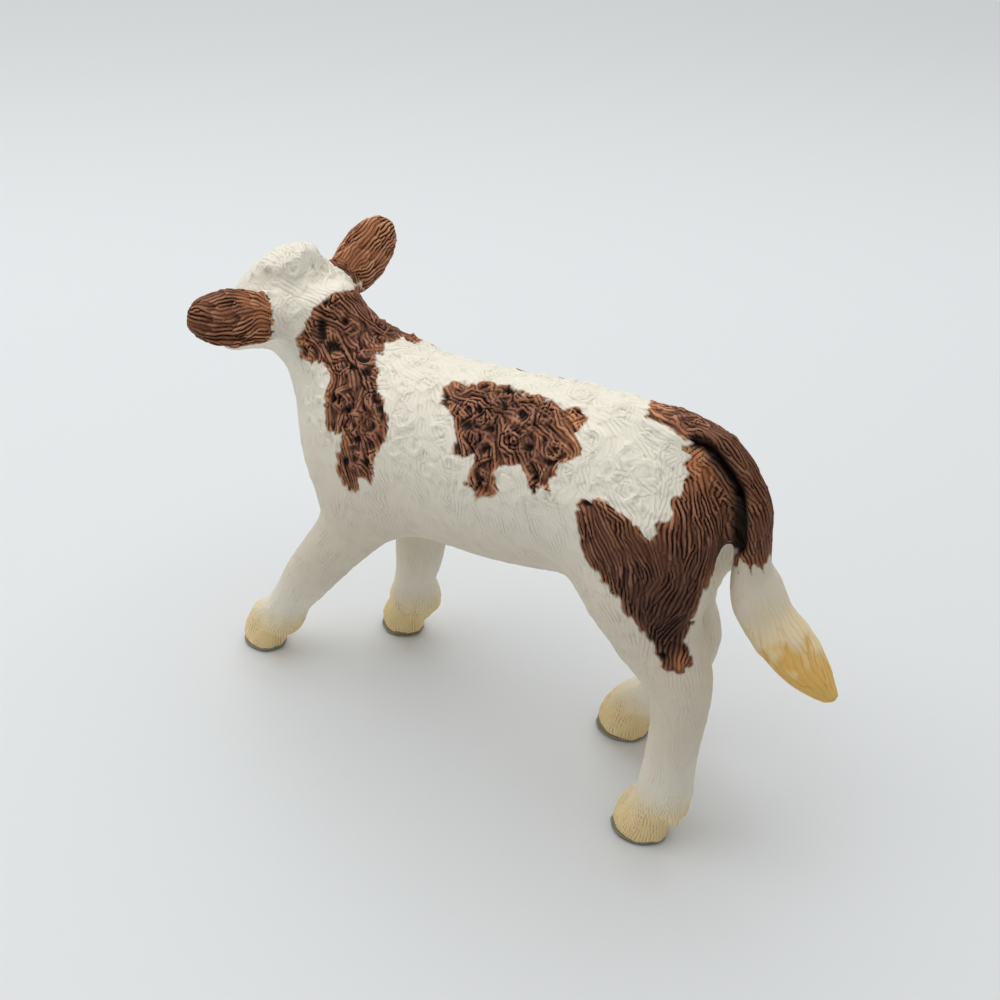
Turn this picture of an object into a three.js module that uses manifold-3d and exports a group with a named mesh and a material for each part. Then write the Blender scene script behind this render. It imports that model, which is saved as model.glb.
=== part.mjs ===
// Toy calf figure: castings of solid plastic, joined on round spigots.
// Millimetres. +X is the calf's left, -Y is the way it faces, +Z is up.
// Limbs with oval sections, smoothly blended, give the skin of the whole animal. Each casting is that
// skin inside its own region, with a spigot where it plugs into the casting that carries it.
import * as THREE from "three";
import { mergeVertices } from "three/addons/utils/BufferGeometryUtils.js";
import Module from "manifold-3d";

const wasm = await Module();
wasm.setup();

// Sizes of the trunk
const bodyLength = 54; // brisket to buttock
const brisketReach = 22; // brisket ahead of the middle of the stance
const backHeight = 44; // top line over the loin
const trunkDepth = 20; // back to belly at the girth
const trunkWidth = 18; // widest rib to rib
const shoulderWidth = 5.6; // one shoulder blade's flesh, side to side
const shoulderDepth = 11; // the same, front to back

// Sizes of the neck and head
const neckDepth = 15.6; // crest to throat where it leaves the shoulders
const neckWidth = 12.4;
const pollRise = 12.2; // the poll's centre above the neck's base
const pollLead = 13.4; // the poll ahead of the neck's base
const pollOffset = 1; // the poll beside the midline, to the calf's right
const headLength = 16.5; // poll to nose
const headWidth = 9.8; // across the eyes
const headDepth = 10; // forehead to jaw
const headTurnDegrees = 5; // to the calf's right
const headDropDegrees = 30; // the nose below level
const eyeRadius = 1.15;
const nostrilRadius = 0.8;
const mouthDepth = 0.9;

// Sizes of one ear
const earLength = 12.4;
const earWidth = 6.4;
const earThickness = 3;
const earHollow = 1.2; // depth of the hollow in its front face

// Sizes of the legs
const legWidth = 6.4; // across the forearm
const legDepth = 6.7; // front to back of the forearm
const thighWidth = 9.6;
const thighDepth = 16.4;
const hoofWidth = 5.7;
const hoofLength = 6.5;
const foreHoofShare = 0.86; // a fore hoof beside a hind one
const hoofHeight = 3.6;
const dewclawLength = 3.6;
const cleftWidth = 0.9; // the split between the two toes
const cleftDepth = 1.5;

// Where the legs stand
const frontHalfTrack = 5.9;
const hindHalfTrack = 6.1;
const leftFrontStride = 16.5; // the left fore hoof ahead of its elbow
const rightFrontStride = 4.7;
const leftHindStride = 2.6; // the left hind hoof behind its hip
const rightHindLead = 7; // the right hind hoof ahead of its hip
const leftHockSwing = 4.2; // the hock behind the line from hip to hoof
const rightHockSwing = 4.5;
const leftKneeLead = 0.8; // the left knee ahead of the line from elbow to hoof
const rightKneeTrail = 0.8; // the right knee behind it

// Sizes of the tail
const tailWidth = 5;
const tailDepth = 3.8;
const tailDrop = 24; // from its root to its tip
const tailSwing = 15; // how far the tip stands back from the root
const tuftWidth = 4.4;

// Fits between castings
const foreFlankDrop = 3; // a fore leg's parting plane below the belly
const hindFlankDrop = 0.9; // a hind leg's, below the flank
const partingGap = 0.3;
const spigotClearance = 0.15; // on the radius
const legSpigotRadius = 1.6;
const legSpigotLength = 4;
const neckSpigotRadius = 2.6;
const neckSpigotLength = 4.5;
const earSpigotRadius = 0.9;
const earSpigotLength = 2;
const tailSpigotRadius = 1;
const tailSpigotLength = 3;

// How far two limbs melt into each other
const trunkBlend = 4;
const legBlend = 3;
const headBlend = 2.4;
const tuftBlend = 1.5;
const earBlend = 1.6;
const clawBlend = 0.7;
const tailBlend = 2;

// Spacing of the grid that each skin is sampled on
const trunkCell = 1.7;
const legCell = 1.25;
const headCell = 1.1;
const tailCell = 1;
const earCell = 0.85;

const overrun = 2; // how far a cutting solid runs past what it cuts

// Places along the trunk, brisket to buttock: share of the body length, share of the back height,
// share of the trunk's width and share of its depth
const trunkShares = [
  [0.1, 0.66, 0.25, 0.25],
  [0.18, 0.725, 0.43, 0.44],
  [0.33, 0.75, 0.485, 0.495],
  [0.5, 0.775, 0.5, 0.505],
  [0.65, 0.815, 0.475, 0.49],
  [0.78, 0.865, 0.44, 0.41],
  [0.87, 0.885, 0.39, 0.34],
  [0.925, 0.9, 0.29, 0.24],
];
// Places along the neck, shoulder to poll: shares of the way forward, of the way up, of the neck's
// width and of its depth
const neckShares = [
  [0, 0, 0.54, 0.5],
  [0.38, 0.22, 0.5, 0.46],
  [0.71, 0.54, 0.4, 0.43],
  [0.94, 0.85, 0.35, 0.385],
];
// A shoulder blade, top to elbow: shares of the brisket's reach, of the back height, of the trunk's
// width outward, of the shoulder's width and of its depth
const shoulderShares = [
  [0.36, 0.84, 0.24, 0.36, 0.4],
  [0.5, 0.73, 0.29, 0.5, 0.5],
  [0.52, 0.62, 0.3, 0.5, 0.47],
];
// Where limbs leave the trunk: shares of the brisket's reach or of the rump's, of the back height and
// of the trunk's width
const elbowShares = { reach: 0.47, rise: 0.57, out: 0.29 };
const hipShares = { reach: 0.73, rise: 0.84, out: 0.255 };
const tailRootShares = { reach: 0.875, rise: 1.035 };
const neckBaseReachShare = 0.41;
const neckBaseHeightShare = 0.75;
const neckPartingShare = 0.74; // where the head plugs in, along the way from shoulder to poll
// Places along the head, poll to nose: share of the head's length, lift as a share of its depth,
// share of its width and share of its depth
const headShares = [
  [0, 0, 0.42, 0.42],
  [0.24, 0.02, 0.5, 0.47],
  [0.46, -0.02, 0.44, 0.42],
  [0.68, -0.04, 0.36, 0.34],
  [0.86, -0.04, 0.385, 0.32],
  [0.95, -0.05, 0.35, 0.26],
];
// The jaw, angle to chin, in the same shares
const jawShares = [
  [0.1, -0.3, 0.34, 0.36],
  [0.4, -0.26, 0.26, 0.2],
  [0.82, -0.19, 0.2, 0.12],
];
const pollTuftShares = [
  [-0.08, 0.32, 0.28, 0.16],
  [0.02, 0.41, 0.36, 0.15],
  [0.16, 0.4, 0.28, 0.13],
];
const eyeShares = { along: 0.36, side: 0.42, lift: 0.08 };
const nostrilShares = { along: 0.99, side: 0.17, lift: -0.02 };
const mouthShares = { along: 1, lift: -0.23, width: 0.7, height: 0.05 };
// An ear, root to tip: share of its length, of its width and of its thickness
const earShares = [
  [-0.16, 0.3, 0.5],
  [0.08, 0.36, 0.5],
  [0.3, 0.46, 0.5],
  [0.58, 0.5, 0.48],
  [0.82, 0.38, 0.4],
  [0.93, 0.22, 0.3],
];
// The hollow in its face: shares of its length, of its width and of the hollow's depth
const earHollowShares = [
  [0.14, 0.12, 0.5],
  [0.36, 0.26, 0.9],
  [0.6, 0.3, 1],
  [0.8, 0.16, 0.6],
];
const earFaceShare = 0.5; // the face's distance from the ear's middle, of its thickness
const earRootShares = { along: 0, side: 0.37, lift: -0.12 };
const earPartingShare = 0.2; // where the ear plugs in, along its length
const earAimShares = { side: 0.95, forward: 0.19, up: 0.28 };
const earBackShares = { backward: 0.9, up: 0.43 };
// A fore leg, elbow to hoof: share of the way down, of the knee's swing, of the leg's width and depth
const foreLegShares = [
  [-0.28, 0, 0.42, 0.62],
  [0, 0.3, 0.52, 0.6],
  [0.26, 0.7, 0.48, 0.49],
  [0.5, 1, 0.44, 0.43],
  [0.66, 0.9, 0.39, 0.36],
  [0.8, 0.6, 0.43, 0.4],
];
// A hind leg, hip to hoof: share of the way down, of the hock's swing, of the thigh's width and depth
const hindLegShares = [
  [-0.04, -0.1, 0.42, 0.43],
  [0.16, -0.05, 0.47, 0.46],
  [0.28, 0.25, 0.41, 0.34],
  [0.41, 0.95, 0.34, 0.23],
  [0.51, 1.05, 0.3, 0.185],
  [0.65, 0.9, 0.27, 0.165],
  [0.81, 0.68, 0.29, 0.175],
];
// The right hind leg's swing in the same rows, as it stands straighter above the hock
const rightHindSwingShares = [-0.1, -0.05, 0.15, 0.5, 1.05, 1.05, 0.75];
// A hoof, pastern to sole: share of the hoof's height, of its length forward, of its width and length
const hoofShares = [
  [1.3, -0.22, 0.43, 0.38],
  [0.85, -0.09, 0.45, 0.43],
  [0.35, 0, 0.48, 0.48],
  [-0.3, 0.02, 0.52, 0.52],
];
const dewclawShares = { lift: 1.85, back: 0.62, side: 0.17, thick: 0.33, droop: 0.92, taper: 0.65 };
const hindBlockShare = 0.45; // where the room for the hind legs starts, of the hip's reach
// The tail, croup to tip: share of the swing, of the drop, and of the tail's width and depth
const tailShares = [
  [-0.66, 0.01, 0.26, 0.32],
  [-0.3, -0.015, 0.42, 0.42],
  [0, 0.015, 0.46, 0.46],
  [0.26, 0.19, 0.44, 0.46],
  [0.31, 0.38, 0.46, 0.44],
  [0.31, 0.52, 0.56, 0.44],
  [0.37, 0.62, 0.7, 0.56],
  [0.48, 0.73, 0.64, 0.56],
];
// Its tuft, in the same shares, with the tuft's width for the tail's
const tuftShares = [
  [0.64, 0.82, 0.76, 0.6],
  [0.82, 0.91, 0.6, 0.48],
  [0.98, 0.99, 0.24, 0.2],
];
const earRoomShares = { width: 1.3, height: 2.2 };
const cleftPlaceShare = 0.5; // the front of the hoof at the ground, of its length
const cleftHeightShare = 0.8; // the cleft's height, of the hoof's
const tailRootCount = 3; // how many of the tail's places lie along the croup
const capShare = 0.5; // how far a limb's rounded end reaches, of its lesser half width

const stepsBetween = 4; // sections worked out from one place on a limb to the next
const roundSteps = 18;
const settleCount = 3; // how often a point of the skin is moved onto it
const probeShare = 0.02; // the step that a slope is measured over, of a cell
const leastSlopeShare = 0.1; // of a full slope, so that a point never leaps where the field is nearly flat

// Directions
const leftward = new THREE.Vector3(1, 0, 0);
const forward = new THREE.Vector3(0, -1, 0);
const upward = new THREE.Vector3(0, 0, 1);
const downward = new THREE.Vector3(0, 0, -1);

function station(centre, halfWidth, halfDepth) {
  return { centre, size: new THREE.Vector3(halfWidth, halfDepth, 0) };
}

// A limb is a row of oval sections along a smooth curve. Its side direction spans the half widths.
function limb(stations, side) {
  const centres = new THREE.CatmullRomCurve3(stations.map((place) => place.centre), false, "catmullrom");
  const sizes = new THREE.CatmullRomCurve3(stations.map((place) => place.size), false, "catmullrom");
  const count = (stations.length - 1) * stepsBetween;
  const pieces = [];
  for (let i = 0; i < count; i += 1) {
    const start = centres.getPoint(i / count);
    const end = centres.getPoint((i + 1) / count);
    const along = end.clone().sub(start);
    const length = along.length();
    along.normalize();
    const across = side.clone().addScaledVector(along, -side.dot(along)).normalize();
    const through = along.clone().cross(across);
    const startSize = sizes.getPoint(i / count);
    const endSize = sizes.getPoint((i + 1) / count);
    pieces.push({ start, end, along, across, through, length, startSize, endSize });
  }
  return pieces;
}

const offset = new THREE.Vector3();

// Distance from a point to one stretch of a limb, less than zero inside
function stretchDistance(point, piece) {
  offset.copy(point).sub(piece.start);
  const run = offset.dot(piece.along);
  const share = THREE.MathUtils.clamp(run / piece.length, 0, 1);
  const past = run - share * piece.length;
  const width = THREE.MathUtils.lerp(piece.startSize.x, piece.endSize.x, share);
  const depth = THREE.MathUtils.lerp(piece.startSize.y, piece.endSize.y, share);
  const cap = Math.min(width, depth) * capShare;
  const u = offset.dot(piece.across) / width;
  const v = offset.dot(piece.through) / depth;
  const w = past / cap;
  const ratio = Math.hypot(u, v, w);
  const slope = Math.hypot(u / width, v / depth, w / cap);
  return slope > 0 ? (ratio * (ratio - 1)) / slope : -cap;
}

function limbDistance(point, pieces) {
  let nearest = Infinity;
  for (const piece of pieces) {
    nearest = Math.min(nearest, stretchDistance(point, piece));
  }
  return nearest;
}

// The lesser of two distances, rounded over where they are within the blend of each other
function melt(first, second, blend) {
  const nearness = Math.max(blend - Math.abs(first - second), 0) / blend;
  return Math.min(first, second) - (nearness * nearness * blend) / 4;
}

// The skin of several limbs: each entry is a limb and how far it melts into those before it
function skinOf(entries) {
  return (point) => {
    let distance = Infinity;
    for (const [pieces, blend] of entries) {
      const next = limbDistance(point, pieces);
      distance = distance === Infinity ? next : melt(distance, next, blend);
    }
    return distance;
  };
}

// Grid samples of a field. The rim of the grid counts as outside, so that the skin closes there.
function sampleGrid(field, low, cell, counts) {
  const [nx, ny, nz] = counts;
  const values = new Float64Array(nx * ny * nz);
  const point = new THREE.Vector3();
  for (let k = 0; k < nz; k += 1) {
    for (let j = 0; j < ny; j += 1) {
      for (let i = 0; i < nx; i += 1) {
        point.set(low.x + i * cell, low.y + j * cell, low.z + k * cell);
        const rim = i === 0 || j === 0 || k === 0 || i === nx - 1 || j === ny - 1 || k === nz - 1;
        const distance = field(point);
        values[i + nx * (j + ny * k)] = rim ? Math.max(distance, cell / 2) : distance;
      }
    }
  }
  return values;
}

// Where the four corners of a grid face are inside and outside by turns, the skin would touch itself.
// Taking the shallowest inside corner out parts the two sheets.
function partTouchingSheets(values, counts) {
  const [nx, ny, nz] = counts;
  const steps = [1, nx, nx * ny];
  const sizes = [nx, ny, nz];
  let changed = true;
  while (changed) {
    changed = false;
    for (let axis = 0; axis < 3; axis += 1) {
      const p = (axis + 1) % 3;
      const q = (axis + 2) % 3;
      const place = [0, 0, 0];
      for (place[axis] = 0; place[axis] < sizes[axis]; place[axis] += 1) {
        for (place[p] = 0; place[p] < sizes[p] - 1; place[p] += 1) {
          for (place[q] = 0; place[q] < sizes[q] - 1; place[q] += 1) {
            const base = place[0] + nx * (place[1] + ny * place[2]);
            const corners = [base, base + steps[p], base + steps[p] + steps[q], base + steps[q]];
            const inside = corners.map((corner) => values[corner] < 0);
            if (inside[0] === inside[2] && inside[1] === inside[3] && inside[0] !== inside[1]) {
              const deep = inside[0] ? [corners[0], corners[2]] : [corners[1], corners[3]];
              const shallow = values[deep[0]] > values[deep[1]] ? deep[0] : deep[1];
              values[shallow] = Math.abs(values[shallow]);
              changed = true;
            }
          }
        }
      }
    }
  }
}

// Moves a point along the field's slope onto the skin, by half a cell at most
function settle(field, point, cell) {
  const home = point.clone();
  const reach = cell / 2;
  const probe = probeShare * cell;
  const ahead = new THREE.Vector3();
  const slope = new THREE.Vector3();
  for (let turn = 0; turn < settleCount; turn += 1) {
    const here = field(point);
    slope.set(0, 0, 0);
    for (const axis of ["x", "y", "z"]) {
      ahead.copy(point);
      ahead[axis] += probe;
      slope[axis] = (field(ahead) - here) / probe;
    }
    const steepness = Math.max(slope.lengthSq(), leastSlopeShare);
    point.addScaledVector(slope, -here / steepness);
    const drift = point.clone().sub(home).clampLength(0, reach);
    point.copy(home).add(drift);
  }
  return point;
}

// One point in each grid cell that the skin passes through, at the middle of its crossings
function cellPoints(field, values, low, cell, counts) {
  const [nx, ny, nz] = counts;
  const points = [];
  const indexOfCell = new Int32Array(nx * ny * nz).fill(-1);
  for (let k = 0; k < nz - 1; k += 1) {
    for (let j = 0; j < ny - 1; j += 1) {
      for (let i = 0; i < nx - 1; i += 1) {
        const middle = crossingMiddle(values, [i, j, k], counts);
        if (middle) {
          middle.multiplyScalar(cell).add(low);
          indexOfCell[i + nx * (j + ny * k)] = points.length;
          points.push(settle(field, middle, cell));
        }
      }
    }
  }
  return { points, indexOfCell };
}

function crossingMiddle(values, place, counts) {
  const [nx, ny] = counts;
  const sum = new THREE.Vector3();
  let crossings = 0;
  for (let corner = 0; corner < 8; corner += 1) {
    for (let axis = 0; axis < 3; axis += 1) {
      const bit = 1 << axis;
      if (!(corner & bit)) {
        const from = place.map((value, index) => value + ((corner >> index) & 1));
        const to = from.slice();
        to[axis] += 1;
        const start = values[from[0] + nx * (from[1] + ny * from[2])];
        const end = values[to[0] + nx * (to[1] + ny * to[2])];
        if (start < 0 !== end < 0) {
          const share = start / (start - end);
          const crossing = new THREE.Vector3(...from);
          crossing.setComponent(axis, from[axis] + share);
          sum.add(crossing);
          crossings += 1;
        }
      }
    }
  }
  return crossings > 0 ? sum.divideScalar(crossings) : null;
}

// Two triangles for each grid edge that the skin crosses, split along the shorter diagonal
function crossingFaces(values, points, indexOfCell, counts) {
  const [nx, ny, nz] = counts;
  const steps = [1, nx, nx * ny];
  const faces = [];
  for (let k = 0; k < nz - 1; k += 1) {
    for (let j = 0; j < ny - 1; j += 1) {
      for (let i = 0; i < nx - 1; i += 1) {
        const place = [i, j, k];
        const base = i + nx * (j + ny * k);
        const inside = values[base] < 0;
        for (let axis = 0; axis < 3; axis += 1) {
          const p = (axis + 1) % 3;
          const q = (axis + 2) % 3;
          const crossed = inside !== values[base + steps[axis]] < 0;
          if (crossed && place[p] > 0 && place[q] > 0) {
            const cells = [base, base - steps[p], base - steps[p] - steps[q], base - steps[q]];
            const ring = cells.map((cellIndex) => indexOfCell[cellIndex]);
            if (!inside) {
              ring.reverse();
            }
            addQuad(faces, ring, points);
          }
        }
      }
    }
  }
  return faces;
}

function addQuad(faces, ring, points) {
  const [a, b, c, d] = ring;
  if (points[a].distanceTo(points[c]) < points[b].distanceTo(points[d])) {
    faces.push(a, b, c, a, c, d);
  } else {
    faces.push(b, c, d, b, d, a);
  }
}

// The closed solid of a field's skin inside a box
function solidOfSkin(field, low, high, cell) {
  const counts = ["x", "y", "z"].map((axis) => Math.ceil((high[axis] - low[axis]) / cell) + 1);
  const values = sampleGrid(field, low, cell, counts);
  partTouchingSheets(values, counts);
  const { points, indexOfCell } = cellPoints(field, values, low, cell, counts);
  const faces = crossingFaces(values, points, indexOfCell, counts);
  const places = new Float32Array(points.flatMap((point) => point.toArray()));
  return solidOfTriangles(places, new Uint32Array(faces));
}

function solidOfTriangles(vertProperties, triVerts) {
  return new wasm.Manifold(new wasm.Mesh({ numProp: 3, vertProperties, triVerts }));
}

// A three.js geometry as a solid, with its shared corners joined
function solidOfGeometry(geometry, matrix) {
  const bare = geometry.clone();
  bare.deleteAttribute("normal");
  bare.deleteAttribute("uv");
  const joined = mergeVertices(bare).applyMatrix4(matrix);
  const index = joined.getIndex();
  const faces = [];
  for (let i = 0; i < index.count; i += 3) {
    const [a, b, c] = [index.getX(i), index.getX(i + 1), index.getX(i + 2)];
    if (a !== b && b !== c && c !== a) {
      faces.push(a, b, c);
    }
  }
  return solidOfTriangles(new Float32Array(joined.getAttribute("position").array), new Uint32Array(faces));
}

// A frame at a place, with its third axis along the aim and its first nearest to the side given
function frameAt(place, aim, side) {
  const through = aim.clone().normalize();
  const across = side.clone().addScaledVector(through, -side.dot(through)).normalize();
  const rise = through.clone().cross(across);
  return new THREE.Matrix4().makeBasis(across, rise, through).setPosition(place);
}

// A block that starts on the frame's plane and runs along its aim
function blockAt(frame, width, height, length) {
  const geometry = new THREE.BoxGeometry(width, height, length);
  geometry.translate(0, 0, length / 2);
  return solidOfGeometry(geometry, frame);
}

// A round bar along the frame's aim, from one distance to another
function barAt(frame, radius, from, to) {
  const geometry = new THREE.CylinderGeometry(radius, radius, to - from, roundSteps);
  geometry.rotateX(Math.PI / 2);
  geometry.translate(0, 0, (from + to) / 2);
  return solidOfGeometry(geometry, frame);
}

function ballAt(frame, width, height, depth) {
  const geometry = new THREE.SphereGeometry(1, roundSteps, roundSteps / 2);
  geometry.scale(width / 2, height / 2, depth / 2);
  return solidOfGeometry(geometry, frame);
}

// Trunk, neck and shoulders
const rumpReach = bodyLength - brisketReach;
const trunkLimb = limb(
  trunkShares.map(([back, rise, wide, deep]) =>
    station(
      new THREE.Vector3(0, back * bodyLength - brisketReach, rise * backHeight),
      wide * trunkWidth,
      deep * trunkDepth,
    ),
  ),
  leftward,
);
const neckBase = new THREE.Vector3(
  0,
  -neckBaseReachShare * brisketReach,
  neckBaseHeightShare * backHeight,
);
const poll = neckBase.clone().add(new THREE.Vector3(-pollOffset, -pollLead, pollRise));

// The height of the trunk's under side, that far behind the middle of the stance
function bellyHeight(reach) {
  const piece = trunkLimb.find((stretch) => stretch.end.y > reach);
  const share = (reach - piece.start.y) / (piece.end.y - piece.start.y);
  const height = THREE.MathUtils.lerp(piece.start.z, piece.end.z, share);
  return height - THREE.MathUtils.lerp(piece.startSize.y, piece.endSize.y, share);
}

function neckPlace(reachShare, riseShare) {
  const place = neckBase.clone().lerp(poll, reachShare);
  place.z = THREE.MathUtils.lerp(neckBase.z, poll.z, riseShare);
  return place;
}

const neckLimb = limb(
  neckShares.map(([reach, rise, wide, deep]) =>
    station(neckPlace(reach, rise), wide * neckWidth, deep * neckDepth),
  ),
  leftward,
);

function shoulderLimb(sideSign) {
  const stations = shoulderShares.map(([reach, rise, out, wide, deep]) =>
    station(
      new THREE.Vector3(sideSign * out * trunkWidth, -reach * brisketReach, rise * backHeight),
      wide * shoulderWidth,
      deep * shoulderDepth,
    ),
  );
  return limb(stations, leftward);
}

// Legs, each from its place on the trunk to its place on the ground
const elbowReach = elbowShares.reach * brisketReach;
const hipReach = hipShares.reach * rumpReach;

// Its room is the space under its end of the trunk, from the near end outward
function foreLeg(name, sideSign, stride, bow) {
  return {
    name,
    sideSign,
    top: new THREE.Vector3(
      sideSign * elbowShares.out * trunkWidth,
      -elbowReach,
      elbowShares.rise * backHeight,
    ),
    foot: new THREE.Vector3(sideSign * frontHalfTrack, -elbowReach - stride, 0),
    bow,
    shares: foreLegShares,
    width: legWidth,
    depth: legDepth,
    nearEnd: 0,
    farEnd: -bodyLength,
    cutHeight: bellyHeight(0) - foreFlankDrop,
    hoofScale: foreHoofShare,
  };
}

function hindLeg(name, sideSign, stride, bow, shares) {
  const nearEnd = hindBlockShare * hipReach;
  return {
    name,
    sideSign,
    top: new THREE.Vector3(
      sideSign * hipShares.out * trunkWidth,
      hipReach,
      hipShares.rise * backHeight,
    ),
    foot: new THREE.Vector3(sideSign * hindHalfTrack, hipReach + stride, 0),
    bow,
    shares,
    width: thighWidth,
    depth: thighDepth,
    nearEnd,
    farEnd: nearEnd + bodyLength,
    cutHeight: bellyHeight(nearEnd) - hindFlankDrop,
    hoofScale: 1,
  };
}

const rightHindShares = hindLegShares.map(([down, , wide, deep], index) => {
  return [down, rightHindSwingShares[index], wide, deep];
});

const legs = [
  foreLeg("front_left_leg", 1, leftFrontStride, -leftKneeLead),
  foreLeg("front_right_leg", -1, rightFrontStride, rightKneeTrail),
  hindLeg("hind_left_leg", 1, leftHindStride, leftHockSwing, hindLegShares),
  hindLeg("hind_right_leg", -1, -rightHindLead, rightHockSwing, rightHindShares),
];

function legLimb(leg) {
  const shank = leg.shares.map(([down, back, wide, deep]) => {
    const centre = leg.top.clone().lerp(leg.foot, down);
    centre.y += back * leg.bow;
    return station(centre, wide * leg.width, deep * leg.depth);
  });
  const hoof = hoofShares.map(([lift, ahead, wide, long]) => {
    const centre = leg.foot.clone();
    centre.y -= ahead * leg.hoofScale * hoofLength;
    centre.z = lift * hoofHeight;
    return station(centre, wide * leg.hoofScale * hoofWidth, long * leg.hoofScale * hoofLength);
  });
  return limb([...shank, ...hoof], leftward);
}

for (const leg of legs) {
  leg.limb = legLimb(leg);
}

function dewclawLimb(leg, sideSign) {
  const root = leg.foot.clone();
  root.x += sideSign * dewclawShares.side * hoofWidth;
  root.y += dewclawShares.back * hoofLength;
  root.z = dewclawShares.lift * hoofHeight;
  const tip = root.clone();
  tip.y += (1 - dewclawShares.droop) * dewclawLength;
  tip.z -= dewclawShares.droop * dewclawLength;
  const thickness = dewclawShares.thick * dewclawLength;
  const pointed = dewclawShares.taper * thickness;
  return limb([station(root, thickness, thickness), station(tip, pointed, pointed)], leftward);
}

// Tail. Its root lies along the croup and belongs to the trunk. The rest hangs behind the rump.
const tailRoot = new THREE.Vector3(
  0,
  tailRootShares.reach * rumpReach,
  tailRootShares.rise * backHeight,
);

function tailStation([swing, drop, wide, deep], width) {
  const centre = tailRoot.clone();
  centre.y += swing * tailSwing;
  centre.z -= drop * tailDrop;
  return station(centre, wide * width, deep * tailDepth);
}

const tailStations = [
  ...tailShares.map((row) => tailStation(row, tailWidth)),
  ...tuftShares.map((row) => tailStation(row, tuftWidth)),
];
const tailLimb = limb(tailStations, leftward);
const tailRootLimb = limb(tailStations.slice(0, tailRootCount), leftward);
const tailAim = tailStations[tailRootCount - 1].centre.clone().sub(tailStations[tailRootCount - 2].centre);

// Head, in its own directions
const headTurnAngle = -THREE.MathUtils.degToRad(headTurnDegrees);
const headDropAngle = THREE.MathUtils.degToRad(headDropDegrees);
const headForward = forward.clone().applyAxisAngle(upward, headTurnAngle);
const headSide = leftward.clone().applyAxisAngle(upward, headTurnAngle);
const nose = headForward
  .clone()
  .multiplyScalar(Math.cos(headDropAngle))
  .addScaledVector(upward, -Math.sin(headDropAngle));
const headRise = nose.clone().cross(headSide);

function headPlace(along, side, lift) {
  return poll
    .clone()
    .addScaledVector(nose, along * headLength)
    .addScaledVector(headSide, side * headWidth)
    .addScaledVector(headRise, lift * headDepth);
}

function headLimb(shares) {
  const stations = shares.map(([along, lift, wide, deep]) =>
    station(headPlace(along, 0, lift), wide * headWidth, deep * headDepth),
  );
  return limb(stations, headSide);
}

const skullLimb = headLimb(headShares);
const jawLimb = headLimb(jawShares);
const tuftLimb = headLimb(pollTuftShares);

// Ears, each along its own aim, with the hollow side turned from the back direction
function earAt(name, sideSign) {
  const root = headPlace(earRootShares.along, sideSign * earRootShares.side, earRootShares.lift);
  const aim = headSide
    .clone()
    .multiplyScalar(sideSign * earAimShares.side)
    .addScaledVector(headForward, earAimShares.forward)
    .addScaledVector(upward, earAimShares.up)
    .normalize();
  const back = headForward
    .clone()
    .multiplyScalar(-earBackShares.backward)
    .addScaledVector(upward, earBackShares.up);
  back.addScaledVector(aim, -back.dot(aim)).normalize();
  const across = back.clone().cross(aim);
  return { name, root, aim, back, across };
}

function earPlace(ear, along, lift) {
  return ear.root
    .clone()
    .addScaledVector(ear.aim, along * earLength)
    .addScaledVector(ear.back, lift * earThickness);
}

function earLimb(ear) {
  const stations = earShares.map(([along, wide, thick]) =>
    station(earPlace(ear, along, 0), wide * earWidth, thick * earThickness),
  );
  return limb(stations, ear.across);
}

function earHollowLimb(ear) {
  const stations = earHollowShares.map(([along, wide, deep]) =>
    station(earPlace(ear, along, -earFaceShare), wide * earWidth, deep * earHollow),
  );
  return limb(stations, ear.across);
}

const ears = [earAt("left_ear", 1), earAt("right_ear", -1)];
for (const ear of ears) {
  ear.limb = earLimb(ear);
  ear.hollow = earHollowLimb(ear);
}

// Skins
const bodySkin = skinOf([
  [trunkLimb, trunkBlend],
  [neckLimb, trunkBlend],
  [shoulderLimb(1), trunkBlend],
  [shoulderLimb(-1), trunkBlend],
  [skullLimb, headBlend],
  [jawLimb, headBlend],
  ...legs.map((leg) => [leg.limb, legBlend]),
  [tailRootLimb, tailBlend],
]);

function legSkin(leg) {
  const claws = [1, -1].map((sideSign) => dewclawLimb(leg, sideSign));
  return (point) =>
    claws.reduce((distance, claw) => melt(distance, limbDistance(point, claw), clawBlend), bodySkin(point));
}

function headSkin(point) {
  let distance = melt(bodySkin(point), limbDistance(point, tuftLimb), tuftBlend);
  for (const ear of ears) {
    distance = melt(distance, limbDistance(point, ear.limb), earBlend);
  }
  return distance;
}

function earSkin(ear) {
  return (point) => Math.max(headSkin(point), -limbDistance(point, ear.hollow));
}

const tailSkin = (point) => limbDistance(point, tailLimb);
const tailRoomSkin = (point) => limbDistance(point, tailLimb) - partingGap;

// The box that holds some limbs with their blends, grown by two cells
function boundsOf(limbs, blend, cell) {
  const bounds = new THREE.Box3();
  for (const piece of limbs.flat()) {
    const reach = Math.max(piece.startSize.x, piece.startSize.y) + blend;
    bounds.union(new THREE.Box3().setFromPoints([piece.start, piece.end]).expandByScalar(reach));
  }
  return bounds.expandByScalar(2 * cell);
}

// Room for a casting: a block of its own from the parting plane outward, and the bar of its spigot
function roomAt(frame, width, height, length) {
  return { frame, width, height, length };
}

function roomBlock(room) {
  return blockAt(room.frame, room.width, room.height, room.length);
}

// The casting starts one parting gap beyond the plane
function castingBlock(room) {
  const shifted = room.frame.clone().multiply(new THREE.Matrix4().makeTranslation(0, 0, partingGap));
  return blockAt(shifted, room.width, room.height, room.length);
}

function withSpigot(casting, frame, radius, length) {
  return casting.add(barAt(frame, radius, -length, radius));
}

function withSocket(casting, frame, radius, length) {
  const bore = barAt(frame, radius + spigotClearance, -length - spigotClearance, overrun);
  return casting.subtract(bore);
}

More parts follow.
